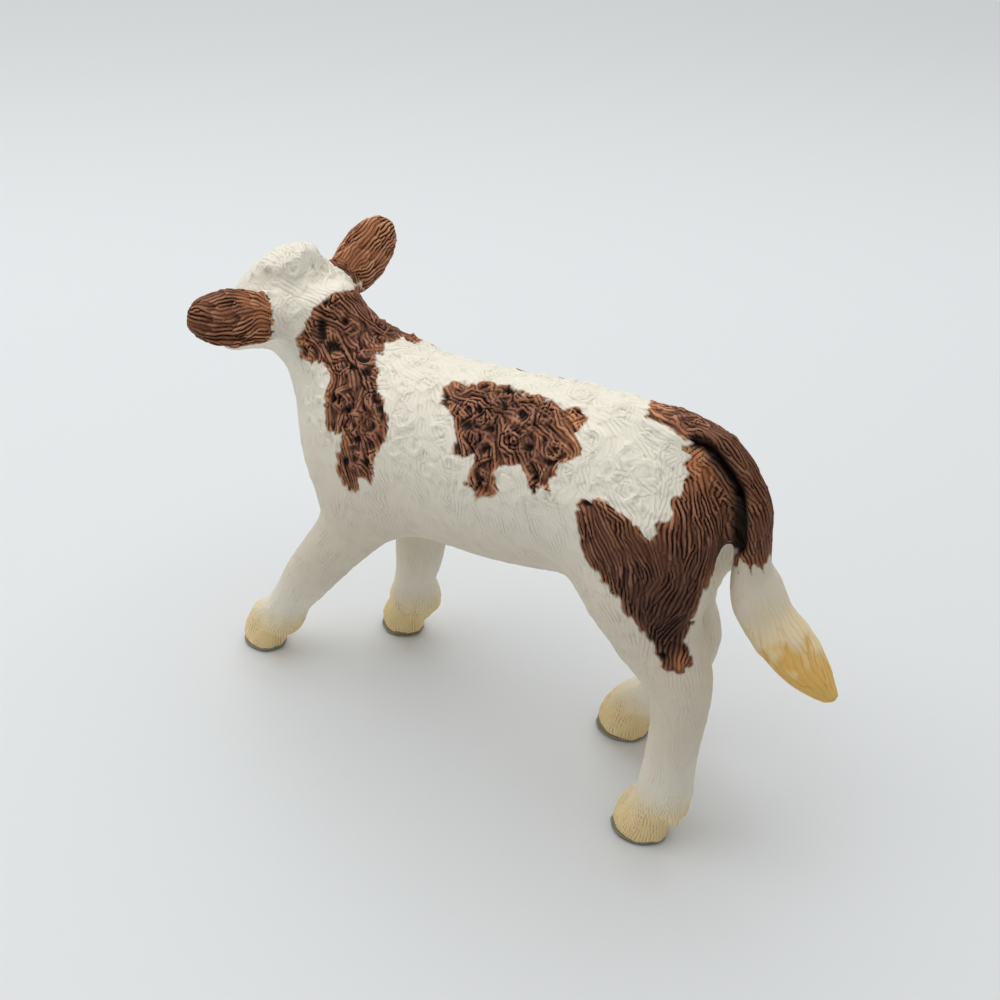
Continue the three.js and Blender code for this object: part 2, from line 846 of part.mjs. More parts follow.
// Where a leg's middle line passes its parting plane
function legCrossing(leg) {
  const piece = leg.limb.find((stretch) => stretch.end.z < leg.cutHeight);
  const share = (piece.start.z - leg.cutHeight) / (piece.start.z - piece.end.z);
  return { place: piece.start.clone().lerp(piece.end, share), aim: piece.along };
}

for (const leg of legs) {
  const { place, aim } = legCrossing(leg);
  leg.spigotFrame = frameAt(place, aim, leftward);
  const middle = new THREE.Vector3(
    (leg.sideSign * bodyLength) / 2,
    (leg.nearEnd + leg.farEnd) / 2,
    leg.cutHeight,
  );
  leg.room = roomAt(frameAt(middle, downward, leftward), bodyLength, bodyLength, bodyLength);
}

const neckAim = poll.clone().sub(neckBase).normalize();
const neckFrame = frameAt(neckPlace(neckPartingShare, neckPartingShare), neckAim, leftward);
const headRoom = roomAt(neckFrame, 2 * headLength, 2 * headLength, 2 * headLength);
for (const ear of ears) {
  ear.frame = frameAt(earPlace(ear, earPartingShare, 0), ear.aim, ear.across);
  const roomWidth = earRoomShares.width * earWidth;
  const roomHeight = earRoomShares.height * earThickness;
  ear.room = roomAt(ear.frame, roomWidth, roomHeight, earLength);
}
const tailFrame = frameAt(tailStations[tailRootCount - 1].centre, tailAim, leftward);
const tailRoom = roomAt(tailFrame, 2 * tailDrop, 2 * tailDrop, 2 * tailDrop);

// Torso
function torsoSolid() {
  const limbs = [trunkLimb, neckLimb, shoulderLimb(1), shoulderLimb(-1), tailRootLimb];
  const bounds = boundsOf(limbs, legBlend, trunkCell);
  bounds.min.z = Math.min(...legs.map((leg) => leg.cutHeight)) - 2 * trunkCell;
  let solid = solidOfSkin(bodySkin, bounds.min, bounds.max, trunkCell);
  for (const leg of legs) {
    solid = solid.subtract(roomBlock(leg.room));
    solid = withSocket(solid, leg.spigotFrame, legSpigotRadius, legSpigotLength);
  }
  solid = solid.subtract(roomBlock(headRoom));
  solid = withSocket(solid, neckFrame, neckSpigotRadius, neckSpigotLength);
  const tailBounds = boundsOf([tailLimb], partingGap, tailCell);
  const tailRoomSolid = solidOfSkin(tailRoomSkin, tailBounds.min, tailBounds.max, tailCell);
  solid = solid.subtract(tailRoomSolid.intersect(roomBlock(tailRoom)));
  return withSocket(solid, tailFrame, tailSpigotRadius, tailSpigotLength);
}

// Hooves
function hoofCleft(leg) {
  const front = leg.foot.clone();
  front.y -= cleftPlaceShare * leg.hoofScale * hoofLength;
  const notch = new THREE.BoxGeometry();
  notch.rotateZ(Math.PI / 4);
  notch.scale(Math.SQRT1_2 * cleftWidth, Math.SQRT2 * cleftDepth, 2 * cleftHeightShare * hoofHeight);
  return solidOfGeometry(notch, new THREE.Matrix4().setPosition(front));
}

function legSolid(leg) {
  const bounds = boundsOf([leg.limb], legBlend, legCell);
  bounds.max.z = leg.cutHeight + 2 * legCell;
  bounds.min.z = -2 * legCell;
  let solid = solidOfSkin(legSkin(leg), bounds.min, bounds.max, legCell);
  solid = solid.intersect(castingBlock(leg.room));
  const ground = frameAt(leg.foot, downward, leftward);
  solid = solid.subtract(blockAt(ground, bodyLength, bodyLength, overrun + legCell));
  solid = solid.subtract(hoofCleft(leg));
  return withSpigot(solid, leg.spigotFrame, legSpigotRadius, legSpigotLength);
}

// Head
function headSolid() {
  const bounds = boundsOf([skullLimb, jawLimb, tuftLimb], earBlend, headCell);
  bounds.union(boundsOf([neckLimb], 0, headCell));
  let solid = solidOfSkin(headSkin, bounds.min, bounds.max, headCell);
  solid = solid.intersect(castingBlock(headRoom));
  for (const ear of ears) {
    solid = solid.subtract(roomBlock(ear.room));
    solid = withSocket(solid, ear.frame, earSpigotRadius, earSpigotLength);
  }
  for (const sideSign of [1, -1]) {
    solid = solid.add(eyeBall(sideSign)).subtract(nostrilHollow(sideSign));
  }
  solid = solid.subtract(mouthSlit());
  return withSpigot(solid, neckFrame, neckSpigotRadius, neckSpigotLength);
}

function eyeBall(sideSign) {
  const place = headPlace(eyeShares.along, sideSign * eyeShares.side, eyeShares.lift);
  const across = 2 * eyeRadius;
  return ballAt(frameAt(place, headSide, nose), across, across, across);
}

function nostrilHollow(sideSign) {
  const place = headPlace(nostrilShares.along, sideSign * nostrilShares.side, nostrilShares.lift);
  const across = 2 * nostrilRadius;
  return ballAt(frameAt(place, nose, headSide), across, nostrilRadius, across);
}

function mouthSlit() {
  const frame = frameAt(headPlace(mouthShares.along, 0, mouthShares.lift), nose, headSide);
  return ballAt(frame, mouthShares.width * headWidth, mouthShares.height * headDepth, 2 * mouthDepth);
}

function earSolid(ear) {
  const bounds = boundsOf([ear.limb], earBlend, earCell);
  let solid = solidOfSkin(earSkin(ear), bounds.min, bounds.max, earCell);
  solid = solid.intersect(castingBlock(ear.room));
  return withSpigot(solid, ear.frame, earSpigotRadius, earSpigotLength);
}

function tailSolid() {
  const bounds = boundsOf([tailLimb], 0, tailCell);
  let solid = solidOfSkin(tailSkin, bounds.min, bounds.max, tailCell);
  solid = solid.intersect(castingBlock(tailRoom));
  return withSpigot(solid, tailFrame, tailSpigotRadius, tailSpigotLength);
}

// Colours of the paint on each casting
const paints = {
  coat: { color: 0xe9e6dc, roughness: 0.62 },
  ear: { color: 0x5d3a2b, roughness: 0.66 },
  tail: { color: 0x6b4a3a, roughness: 0.66 },
};

// A casting as a named mesh, with its geometry set about its own seat
function castingMesh(name, solid, seat, paint) {
  const { vertProperties, triVerts } = solid.getMesh();
  const geometry = new THREE.BufferGeometry();
  geometry.setAttribute("position", new THREE.BufferAttribute(vertProperties, 3));
  geometry.setIndex(new THREE.BufferAttribute(triVerts, 1));
  geometry.translate(-seat.x, -seat.y, -seat.z);
  const mesh = new THREE.Mesh(geometry, new THREE.MeshStandardMaterial({ ...paint, metalness: 0 }));
  mesh.name = name;
  mesh.position.copy(seat);
  return mesh;
}

function seatOf(frame) {
  return new THREE.Vector3().setFromMatrixPosition(frame);
}

const calf = new THREE.Group();
calf.add(castingMesh("torso", torsoSolid(), neckBase, paints.coat));
calf.add(castingMesh("head", headSolid(), seatOf(neckFrame), paints.coat));
for (const ear of ears) {
  calf.add(castingMesh(ear.name, earSolid(ear), seatOf(ear.frame), paints.ear));
}
for (const leg of legs) {
  calf.add(castingMesh(leg.name, legSolid(leg), seatOf(leg.spigotFrame), paints.coat));
}
calf.add(castingMesh("tail", tailSolid(), tailRoot, paints.tail));

// The origin is on the ground, under the middle of the figure's box
const reachBox = new THREE.Box3().setFromObject(calf, true);
const middle = reachBox.getCenter(new THREE.Vector3());
calf.position.set(-middle.x, -middle.y, 0);

export default calf;
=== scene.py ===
"""Toy calf figure: a moulded plastic calf with combed fur relief and hand-painted brown patches.

The nine castings of the frame are joined into one closed skin, which is carved, combed and painted,
and then parted again into one piece for each casting. Lengths are in millimetres until the pieces
are made, and then in metres. Most of the work is done in the body's own frame, whose origin is on
the ground under the middle of the stance: +X is the calf's left, -Y is the way it faces.
"""
import itertools
import math

import bpy
import numpy as np
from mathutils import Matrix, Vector
from mathutils.kdtree import KDTree


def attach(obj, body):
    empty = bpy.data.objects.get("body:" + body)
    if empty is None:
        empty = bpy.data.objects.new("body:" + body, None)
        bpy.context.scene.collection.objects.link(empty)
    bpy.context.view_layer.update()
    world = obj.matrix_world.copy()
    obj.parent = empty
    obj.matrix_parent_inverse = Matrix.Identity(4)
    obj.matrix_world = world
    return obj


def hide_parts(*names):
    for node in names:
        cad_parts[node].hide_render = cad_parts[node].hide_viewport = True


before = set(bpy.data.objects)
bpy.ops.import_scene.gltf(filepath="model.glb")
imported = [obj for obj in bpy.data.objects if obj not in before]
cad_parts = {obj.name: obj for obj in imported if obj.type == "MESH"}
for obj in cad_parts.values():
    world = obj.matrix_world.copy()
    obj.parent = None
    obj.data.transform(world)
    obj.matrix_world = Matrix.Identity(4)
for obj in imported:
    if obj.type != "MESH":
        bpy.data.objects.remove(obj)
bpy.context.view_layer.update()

MILLIMETRE = 0.001
STANCE = np.array([1.154, -2.829, 0.0])  # the body's origin in the frame

# Camera, as worked out from the photograph, in the body's frame
CAMERA_PLACE = np.array([115.12, 85.37, 128.24])
CAMERA_TARGET = np.array([-5.06, -0.05, 25.0])
FOCAL_PIXELS = 1656.0
PICTURE = 1000.0
SENSOR = 36.0

# Skin
GROWTH = 0.2  # how far each solid is grown so that the parting gaps close
VOXEL = 0.34
SMOOTHING_TURNS = 10
SMOOTHING_SHARE, SWELLING_SHARE = 0.5, 0.52  # each turn smooths the skin and then undoes the shrinking

seeded = np.random.default_rng(7)


def new_object(name, data):
    made = bpy.data.objects.new(name, data)
    bpy.context.scene.collection.objects.link(made)
    return made


def mesh_of(points, faces):
    made = bpy.data.meshes.new("skin")
    made.from_pydata(points.tolist(), [], faces.tolist())
    made.validate()
    return made


def field_of(rows, key, width, kind=np.float32):
    """One field of the rows of a mesh, as an array."""
    flat = np.empty(len(rows) * width, kind)
    rows.foreach_get(key, flat)
    return flat.reshape(-1, width)


def points_of(mesh):
    return field_of(mesh.vertices, "co", 3).astype(float)


def normals_of(mesh):
    return field_of(mesh.vertex_normals, "vector", 3).astype(float)


def edges_of(mesh):
    return field_of(mesh.edges, "vertices", 2, np.int32)


def set_points(mesh, points):
    mesh.vertices.foreach_set("co", points.astype(np.float32).ravel())
    mesh.update()


def modified(mesh, kind, **settings):
    """The mesh with one modifier applied."""
    holder = new_object("holder", mesh)
    modifier = holder.modifiers.new("step", kind)
    for key, value in settings.items():
        setattr(modifier, key, value)
    graph = bpy.context.evaluated_depsgraph_get()
    made = bpy.data.meshes.new_from_object(holder.evaluated_get(graph))
    bpy.data.objects.remove(holder)
    return made


# ---------------- skin
def grown_solid(mesh, growth):
    """A CAD solid's points moved out along their normals, its faces, and its points where they were."""
    mesh.calc_loop_triangles()
    triangles = field_of(mesh.loop_triangles, "vertices", 3, np.int32)
    points = points_of(mesh) / MILLIMETRE - STANCE
    _, first, inverse = np.unique(np.round(points, 4), axis=0, return_index=True, return_inverse=True)
    points = points[first]
    faces = inverse.ravel()[triangles]
    faces = faces[np.all(faces != np.roll(faces, 1, axis=1), axis=1)]
    corners = points[faces]
    face_normals = np.cross(corners[:, 1] - corners[:, 0], corners[:, 2] - corners[:, 0])
    normals = np.zeros_like(points)
    for corner in range(3):
        np.add.at(normals, faces[:, corner], face_normals)
    normals /= np.maximum(np.linalg.norm(normals, axis=1, keepdims=True), 1e-12)
    return points + growth * normals, faces, points


def joined_solids():
    """All the grown solids in one mesh, the solids' own points, and the name of each one's node."""
    all_points, all_faces, plain_points, names = [], [], [], []
    start = 0
    for name in sorted(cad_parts):
        points, faces, plain = grown_solid(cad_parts[name].data, GROWTH)
        all_points.append(points)
        all_faces.append(faces + start)
        plain_points.append(plain)
        names += [name] * len(plain)
        start += len(points)
    mesh = mesh_of(np.concatenate(all_points), np.concatenate(all_faces))
    return mesh, np.concatenate(plain_points), np.array(names)


def largest_part(mesh):
    """The mesh without the shut-in cavities round the spigots."""
    points, edges = points_of(mesh), edges_of(mesh)
    faces = np.array([face.vertices[:] for face in mesh.polygons])
    label, settled = np.arange(len(points)), False
    while not settled:
        least = label.copy()
        for here, there in (edges.T, edges.T[::-1]):
            np.minimum.at(least, here, label[there])
        least = least[least]
        label, settled = least, np.array_equal(least, label)
    kept = label == np.argmax(np.bincount(label))
    renumbered = np.cumsum(kept) - 1
    return mesh_of(points[kept], renumbered[faces[kept[faces[:, 0]]]])


def neighbour_means(points, edges):
    """The middle of each point's neighbours."""
    count = len(points)
    degree = np.bincount(edges.ravel(), minlength=count)
    middle = np.empty_like(points)
    for axis in range(3):
        column = points[:, axis]
        sums = np.bincount(edges[:, 0], column[edges[:, 1]], count)
        sums += np.bincount(edges[:, 1], column[edges[:, 0]], count)
        middle[:, axis] = sums / degree
    return middle


def relaxed(points, edges):
    """Points smoothed over their neighbours."""
    for _ in range(SMOOTHING_TURNS):
        for share in (SMOOTHING_SHARE, -SWELLING_SHARE):
            points = points + share * (neighbour_means(points, edges) - points)
    return points


def closed_skin():
    """One closed skin round the castings, and the name of the casting under each of its points."""
    solids, cad_points, cad_names = joined_solids()
    coarse = modified(solids, "REMESH", mode="VOXEL", voxel_size=VOXEL, adaptivity=0.0)
    coarse = largest_part(coarse)
    points = points_of(coarse) - GROWTH * normals_of(coarse)
    points = relaxed(points, edges_of(coarse))
    points[:, 2] = np.maximum(points[:, 2], 0.0)
    set_points(coarse, points)
    under, _ = nearest(cad_points, points, 1)
    coarse_names = cad_names[under[:, 0]]
    made = modified(coarse, "SUBSURF", levels=1, render_levels=1)
    near, _ = nearest(points, points_of(made), 1)
    return made, coarse_names[near[:, 0]]


# ---------------- fur
# Guides: place, the way the hair lies, pitch of its strokes, their depth, and how curly it is.
# Each stands for both sides of the body.
BODY_GUIDES = [
    ((2, -24, 47), (0, 1, -0.3), 0.46, 0.2, 1), ((3, -29, 45), (0.3, 0.8, 0.5), 0.42, 0.12, 0.7),
    ((4, -30, 41), (0.2, 0.9, -0.3), 0.36, 0.08, 0.1), ((1, -31, 44.5), (0, 0.9, 0.5), 0.4, 0.1, 0.6),
    ((2, -36, 38), (0, 0.7, 0.7), 0.34, 0.03, 0), ((4, -24, 40), (0, 0.5, -1), 0.4, 0.09, 0.1),
    ((2, -17, 44), (0.2, 1, -0.3), 0.46, 0.18, 0.35), ((5, -16, 40), (0.1, 0.45, -1), 0.46, 0.2, 0.9),
    ((6, -11, 38), (0, 0.3, -1), 0.46, 0.2, 1), ((5, -18, 33), (-0.2, 0.25, -1), 0.42, 0.1, 0.1),
    ((0, -22, 31), (0, 0.2, -1), 0.42, 0.1, 0), ((7, -13, 30), (0, 0.2, -1), 0.42, 0.12, 0.15),
    ((2, -8, 44), (0.4, 0.8, -0.2), 0.46, 0.17, 0.9), ((7, -4, 40), (0.1, 0.3, -1), 0.46, 0.16, 0.9),
    ((9, -3, 32), (0, 0.3, -1), 0.42, 0.14, 0.3), ((2, 3, 44), (0.4, 0.8, -0.2), 0.46, 0.17, 0.9),
    ((7, 5, 40), (0.1, 0.3, -1), 0.46, 0.2, 0.8), ((9, 6, 33), (0, 0.3, -1), 0.42, 0.16, 0.3),
    ((9, 2, 27), (-0.2, 0.4, -1), 0.4, 0.11, 0), ((0, 4, 24), (0, 1, 0), 0.4, 0.08, 0),
    ((2, 13, 44.5), (0.4, 0.8, -0.2), 0.46, 0.16, 0.8), ((8, 14, 39), (0.1, 0.4, -1), 0.46, 0.17, 0.6),
    ((8, 14, 31), (0, 0.5, -1), 0.42, 0.14, 0), ((2, 22, 46), (0.2, 1, -0.1), 0.46, 0.16, 0.5),
    ((6, 22, 43), (0.3, 0.5, -0.8), 0.46, 0.16, 0.8), ((8, 21, 36), (0, 0.7, -0.9), 0.44, 0.19, 0),
    ((8, 23, 30), (0, 0.55, -1), 0.44, 0.19, 0), ((7, 28, 29), (0, -0.3, -1), 0.44, 0.19, 0),
    ((6, 29, 41), (0.1, 0, -1), 0.42, 0.17, 0.2), ((6, 30, 34), (0, -0.6, -1), 0.42, 0.18, 0.25),
    ((6, 25, 22), (0, 0.5, -1), 0.38, 0.1, 0), ((3, 28, 26), (0.3, 0, -1), 0.38, 0.1, 0),
]
# Guides on one leg only
LEG_GUIDES = [
    ((6, 29, 15), (0, 0.15, -1), 0.34, 0.08, 0), ((6, 27, 7), (0, -0.2, -1), 0.3, 0.07, 0),
    ((-6, 24, 15), (0, 0.1, -1), 0.34, 0.08, 0), ((-6, 19, 7), (0, -0.4, -1), 0.3, 0.07, 0),
    ((5.5, -15, 20), (0, -0.6, -1), 0.34, 0.09, 0), ((6, -20, 12), (0, -0.7, -1), 0.32, 0.08, 0),
    ((6, -25, 5), (0, -0.7, -1), 0.3, 0.08, 0), ((-5.5, -12, 18), (0, -0.1, -1), 0.34, 0.09, 0),
    ((-6, -14, 8), (0, -0.2, -1), 0.3, 0.08, 0),
]
GUIDE_BLEND, TAIL_GUIDE_BLEND = 1.0, 0.5  # how softly one guide gives way to the next
EAR_ROOTS = {"left_ear": (3.3, -22.9, 44.0), "right_ear": (-3.9, -22.3, 44.0)}
EARS = tuple(EAR_ROOTS)
EAR_PITCH, EAR_DEPTH, EAR_CURL = 0.43, 0.17, 0.12
TAIL_LINE = np.array([
    (0, 26, 46), (0, 29.5, 44.5), (0, 32.5, 40), (0, 33.7, 34), (0, 35, 30), (0, 38.5, 25), (0, 42.5, 21.5),
])
TAIL_BROWN_END = 35.0  # the height at which the tail's brown gives way to its tuft
TAIL_PITCH, TAIL_DEPTH = 0.42, 0.15
TUFT_PITCH_GAIN, TUFT_DEPTH_LOSS = 0.2, 0.09

# Kernels: each carries one short piece of a wave, whose crests are the strokes of the comb
KERNEL_SPACING = 0.62
NEIGHBOURS = 12
KERNEL_WIDTH, KERNEL_LENGTH = 0.5, 0.95
DRIFTS = [(0.42, 2.4, 4), (0.32, 1.2, 9)]  # how the lie strays: strength, size and seed of the noise
DRIFT_JITTER = 0.12
PITCH_VARIETY = 0.25
ALIGNING_TURNS = 5  # how often a stroke is fitted to its neighbours
OWN_SHARE, ALIGNING_WIDTH, ALIGNING_LENGTH = 0.5, 0.6, 1.6
CLUMP_STROKES = 3.0  # strokes in one clump of hair
CLUMP_SHARPNESS, STROKE_SHARPNESS = 0.8, 0.9
LOCK_LENGTH = 3.2
LOCK_ALIGNING_TURNS = 2
LOCK_STAGGER = 0.8  # how far the clumps' locks end apart from each other
VIGOUR_MIDDLE, VIGOUR_GAIN, VIGOUR_RANGE = 0.75, 1.3, (0.4, 1.25)

# Curls
CURLY = 0.3  # how curly the hair is where curls begin
CURL_SPACING = 2.3
CURL_REACH, CURL_FADE = 1.8, 0.8
CURL_PULL = 1.3
CURL_SIZES = (0.7, 1.3)
DEEP_CURL_SHARE, SHALLOW_CURL = 0.15, 0.3
CURL_PIT, CURL_HUMP, CURL_GAP = (0.4, 0.26), (0.9, 0.4), 0.35  # the middle and width of each ring


def unit(vectors):
    return vectors / np.maximum(np.linalg.norm(vectors, axis=-1, keepdims=True), 1e-12)


def ramp(values, low, high):
    share = np.clip((values - low) / (high - low), 0, 1)
    return share * share * (3 - 2 * share)


def bell(distance, reach):
    """1 at no distance, falling off over the reach."""
    return np.exp(-((distance / reach) ** 2))


def noise(points, size, seed):
    """Smooth noise between -1 and 1, with features of that size."""
    scaled = points / size
    cell = np.floor(scaled).astype(np.int64)
    part = scaled - cell
    part = part * part * (3 - 2 * part)
    total = np.zeros(len(points))
    for corner in range(8):
        step = np.array([corner & 1, (corner >> 1) & 1, (corner >> 2) & 1])
        key = (cell + step).astype(np.uint64) * np.array([73856093, 19349663, 83492791], np.uint64)
        mixed = key[:, 0] ^ key[:, 1] ^ key[:, 2] ^ np.uint64(seed * 7919 + 17)
        mixed = (mixed ^ (mixed >> np.uint64(13))) * np.uint64(1274126177)
        mixed = mixed ^ (mixed >> np.uint64(16))
        value = (mixed % np.uint64(65536)).astype(float) / 32767.5 - 1
        weight = np.prod(np.where(step == 1, part, 1 - part), axis=1)
        total += weight * value
    return total


def noise_sum(points, rows):
    """Noises of several strengths, sizes and seeds together."""
    return sum(strength * noise(points, size, seed) for strength, size, seed in rows)


def nearest(tree_points, query, count):
    """Indices and distances of the nearest points."""
    tree = KDTree(len(tree_points))
    for index, place in enumerate(tree_points.tolist()):
        tree.insert(place, index)
    tree.balance()
    found = [[(hit[1], hit[2]) for hit in tree.find_n(place, count)] for place in query.tolist()]
    flat = np.array(found)
    return flat[..., 0].astype(int), flat[..., 1]


def scattered(points, spacing):
    """Indices of points that keep at least that distance from each other."""
    taken, kept = {}, []
    rows = points.tolist()
    limit = spacing * spacing
    for index in seeded.permutation(len(points)).tolist():
        x, y, z = rows[index]
        cell = tuple(int(value // spacing) for value in rows[index])
        cells = itertools.product(*((at - 1, at, at + 1) for at in cell))
        others = (rows[other] for around in cells for other in taken.get(around, ()))
        if all((ox - x) ** 2 + (oy - y) ** 2 + (oz - z) ** 2 >= limit for ox, oy, oz in others):
            taken.setdefault(cell, []).append(index)
            kept.append(index)
    return np.array(kept)


def guide_rows():
    """The guides for both sides of the body, one to a row."""
    rows = [[*place, *lie, *hair] for place, lie, *hair in LEG_GUIDES]
    both = []
    for (x, y, z), (lie_x, lie_y, lie_z), *hair in BODY_GUIDES:
        for side in (1, -1):
            both.append([side * x, y, z, side * lie_x, lie_y, lie_z, *hair])
    return np.array(both + rows, float)


def blend_weights(points, places, softness):
    """Shares of the places at each point, larger where they are nearer."""
    apart = np.linalg.norm(points[:, None, :] - places[None], axis=2)
    weight = 1 / (apart ** 3 + softness)
    return weight / weight.sum(1, keepdims=True)


def guided(points):
    """Lie, pitch, depth and curl of the hair at these points of the body."""
    rows = guide_rows()
    weight = blend_weights(points, rows[:, :3], GUIDE_BLEND)
    return weight @ unit(rows[:, 3:6]), weight @ rows[:, 6], weight @ rows[:, 7], weight @ rows[:, 8]


def lie_of_ends(points, names, lie, pitch, depth, curl):
    """The ears' hair fans out from the root, and the tail's runs along it."""
    for name, root in EAR_ROOTS.items():
        chosen = names == name
        lie[chosen] = unit(points[chosen] - np.array(root))
        pitch[chosen] = EAR_PITCH
        depth[chosen] = EAR_DEPTH
        curl[chosen] = EAR_CURL
    chosen = names == "tail"
    spans = TAIL_LINE[1:] - TAIL_LINE[:-1]
    middles = (TAIL_LINE[1:] + TAIL_LINE[:-1]) / 2
    lie[chosen] = blend_weights(points[chosen], middles, TAIL_GUIDE_BLEND) @ unit(spans)
    tuft = ramp(TAIL_BROWN_END - points[chosen, 2], -0.5, 1.5)
    pitch[chosen] = TAIL_PITCH + TUFT_PITCH_GAIN * tuft
    depth[chosen] = TAIL_DEPTH - TUFT_DEPTH_LOSS * tuft
    curl[chosen] = 0.0
    return lie, pitch, depth, curl


def turned(vectors, normals, angles):
    """Tangent vectors turned about the normals."""
    side = np.cross(normals, vectors)
    return vectors * np.cos(angles)[:, None] + side * np.sin(angles)[:, None]


def curled(places, ways, lie, curl, centres, spins):
    """The lie of the hair, wound round the middle of the nearest curl."""
    near, apart = nearest(centres, places, 1)
    offset = places - centres[near[:, 0]]
    round_way = unit(np.cross(ways, offset)) * spins[near[:, 0], None]
    share = curl * ramp(CURL_REACH - apart[:, 0], 0.0, CURL_FADE)
    return unit(lie * (1 - share[:, None]) + CURL_PULL * round_way * share[:, None])


def aligned(phase, places, across, wave_length, index, turns):
    """The waves' phases, each moved towards what its neighbours have at its place."""
    for _ in range(turns):
        total = OWN_SHARE * np.exp(1j * phase)
        for turn in range(1, NEIGHBOURS):
            near = index[:, turn]
            offset = places - places[near]
            beside = np.sum(offset * across[near], axis=1)
            along = np.linalg.norm(offset, axis=1)
            agree = np.clip(np.sum(across * across[near], axis=1), 0, 1) ** 2
            weight = agree * np.exp(-((beside / ALIGNING_WIDTH) ** 2) - (along / ALIGNING_LENGTH) ** 2)
            total += weight * np.exp(1j * (phase[near] + 2 * math.pi * beside / wave_length[near]))
        phase = np.angle(total)
    return phase


def crest_of(angle, sharpness):
    """1 along the ridges of a wave and 0 in its furrows, which are narrow where the sharpness is low."""
    return np.abs(np.sin(angle / 2)) ** sharpness


def curl_marks(points, curl, centres, mouths, sizes, deep):
    """How curly each point is, and the crescent pit and hump of the curl that it is in."""
    near, apart = nearest(centres, points, 2)
    gap = apart[:, 1] - apart[:, 0]
    curly = ramp(curl, CURLY, 0.65) * ramp(3.0 - apart[:, 0], 0.0, 1.0)
    near = near[:, 0]
    reach = apart[:, 0] / sizes[near]
    facing = np.sum((points - centres[near]) * mouths[near], axis=1) / np.maximum(apart[:, 0], 1e-6)
    pit = curly * deep[near] * bell(reach - CURL_PIT[0], CURL_PIT[1]) * ramp(facing, -0.3, 0.8)
    hump = curly * bell(reach - CURL_HUMP[0], CURL_HUMP[1]) * ramp(facing, -0.8, 0.7)
    hump *= 1 - 0.8 * bell(gap, CURL_GAP)
    return curly, pit, hump


def comb(points, normals, names):
    """The fur's fields at every point, by name."""
    kernels = scattered(points, KERNEL_SPACING)
    places, ways = points[kernels], normals[kernels]
    lie, pitch, depth, curl = guided(places)
    lie, pitch, depth, curl = lie_of_ends(places, names[kernels], lie, pitch, depth, curl)
    lie = unit(lie - ways * np.sum(lie * ways, axis=1, keepdims=True))
    curly_ways = ways[curl > CURLY]
    curly_places = places[curl > CURLY]
    middles = scattered(curly_places, CURL_SPACING)
    centres = curly_places[middles]
    spins = np.sign(seeded.uniform(-1, 1, len(centres)))
    deep = np.where(seeded.uniform(0, 1, len(centres)) < DEEP_CURL_SHARE, 1.0, SHALLOW_CURL)
    sizes = seeded.uniform(*CURL_SIZES, len(centres))
    mouths = unit(np.cross(curly_ways[middles], seeded.standard_normal((len(centres), 3))))
    lie = curled(places, ways, lie, curl, centres, spins)
    drift = noise_sum(places, DRIFTS)
    drift += DRIFT_JITTER * seeded.standard_normal(len(places))
    lie = turned(lie, ways, drift)
    pitch = pitch * (1 + PITCH_VARIETY * noise(places, 1.4, 5))
    across = np.cross(ways, lie)
    index, _ = nearest(places, places, NEIGHBOURS)
    clump_pitch = CLUMP_STROKES * pitch
    lock_pitch = np.full(len(places), LOCK_LENGTH)
    phase, clump_phase, lock_phase = seeded.uniform(0, 2 * math.pi, (3, len(places)))
    vigour = seeded.uniform(-1, 1, len(places))
    phase = aligned(phase, places, across, pitch, index, ALIGNING_TURNS)
    clump_phase = aligned(clump_phase, places, across, clump_pitch, index, ALIGNING_TURNS)
    lock_phase = aligned(lock_phase, places, lie, lock_pitch, index, LOCK_ALIGNING_TURNS)
    index, _ = nearest(places, points, NEIGHBOURS)
    waves = np.zeros((3, len(points)), complex)
    totals = np.zeros((4, len(points)))
    for turn in range(NEIGHBOURS):
        near = index[:, turn]
        offset = points - places[near]
        along = np.sum(offset * lie[near], axis=1)
        beside = np.sum(offset * across[near], axis=1)
        agree = np.clip(np.sum(normals * ways[near], axis=1), 0, 1)
        weight = agree * np.exp(-((along / KERNEL_LENGTH) ** 2) - (beside / KERNEL_WIDTH) ** 2)
        for row, (run, wave_length, start) in enumerate((
            (beside, pitch[near], phase[near]),
            (beside, clump_pitch[near], clump_phase[near]),
            (along, LOCK_LENGTH, lock_phase[near]),
        )):
            waves[row] += weight * np.exp(1j * (2 * math.pi * run / wave_length + start))
        for row, values in enumerate((depth[near], curl[near], vigour[near], 1.0)):
            totals[row] += weight * values
    depth, curl, vigour = totals[:3] / np.maximum(totals[3], 1e-9)
    stroke, clump, lock = np.angle(waves)
    stroke = stroke + 0.5 * noise(points, 0.9, 6)
    clump = clump + 0.9 * noise(points, 1.5, 7)
    lock = np.mod(lock + LOCK_STAGGER * np.cos(clump), 2 * math.pi) / (2 * math.pi)
    curly, pit, hump = curl_marks(points, curl, centres, mouths, sizes, deep)
    vigour = np.clip(VIGOUR_MIDDLE + VIGOUR_GAIN * vigour, *VIGOUR_RANGE)
    return {
        "stroke": stroke, "clump": crest_of(clump, CLUMP_SHARPNESS), "lock": lock, "depth": depth,
        "curly": curly, "pit": pit, "hump": hump, "vigour": vigour,
    }


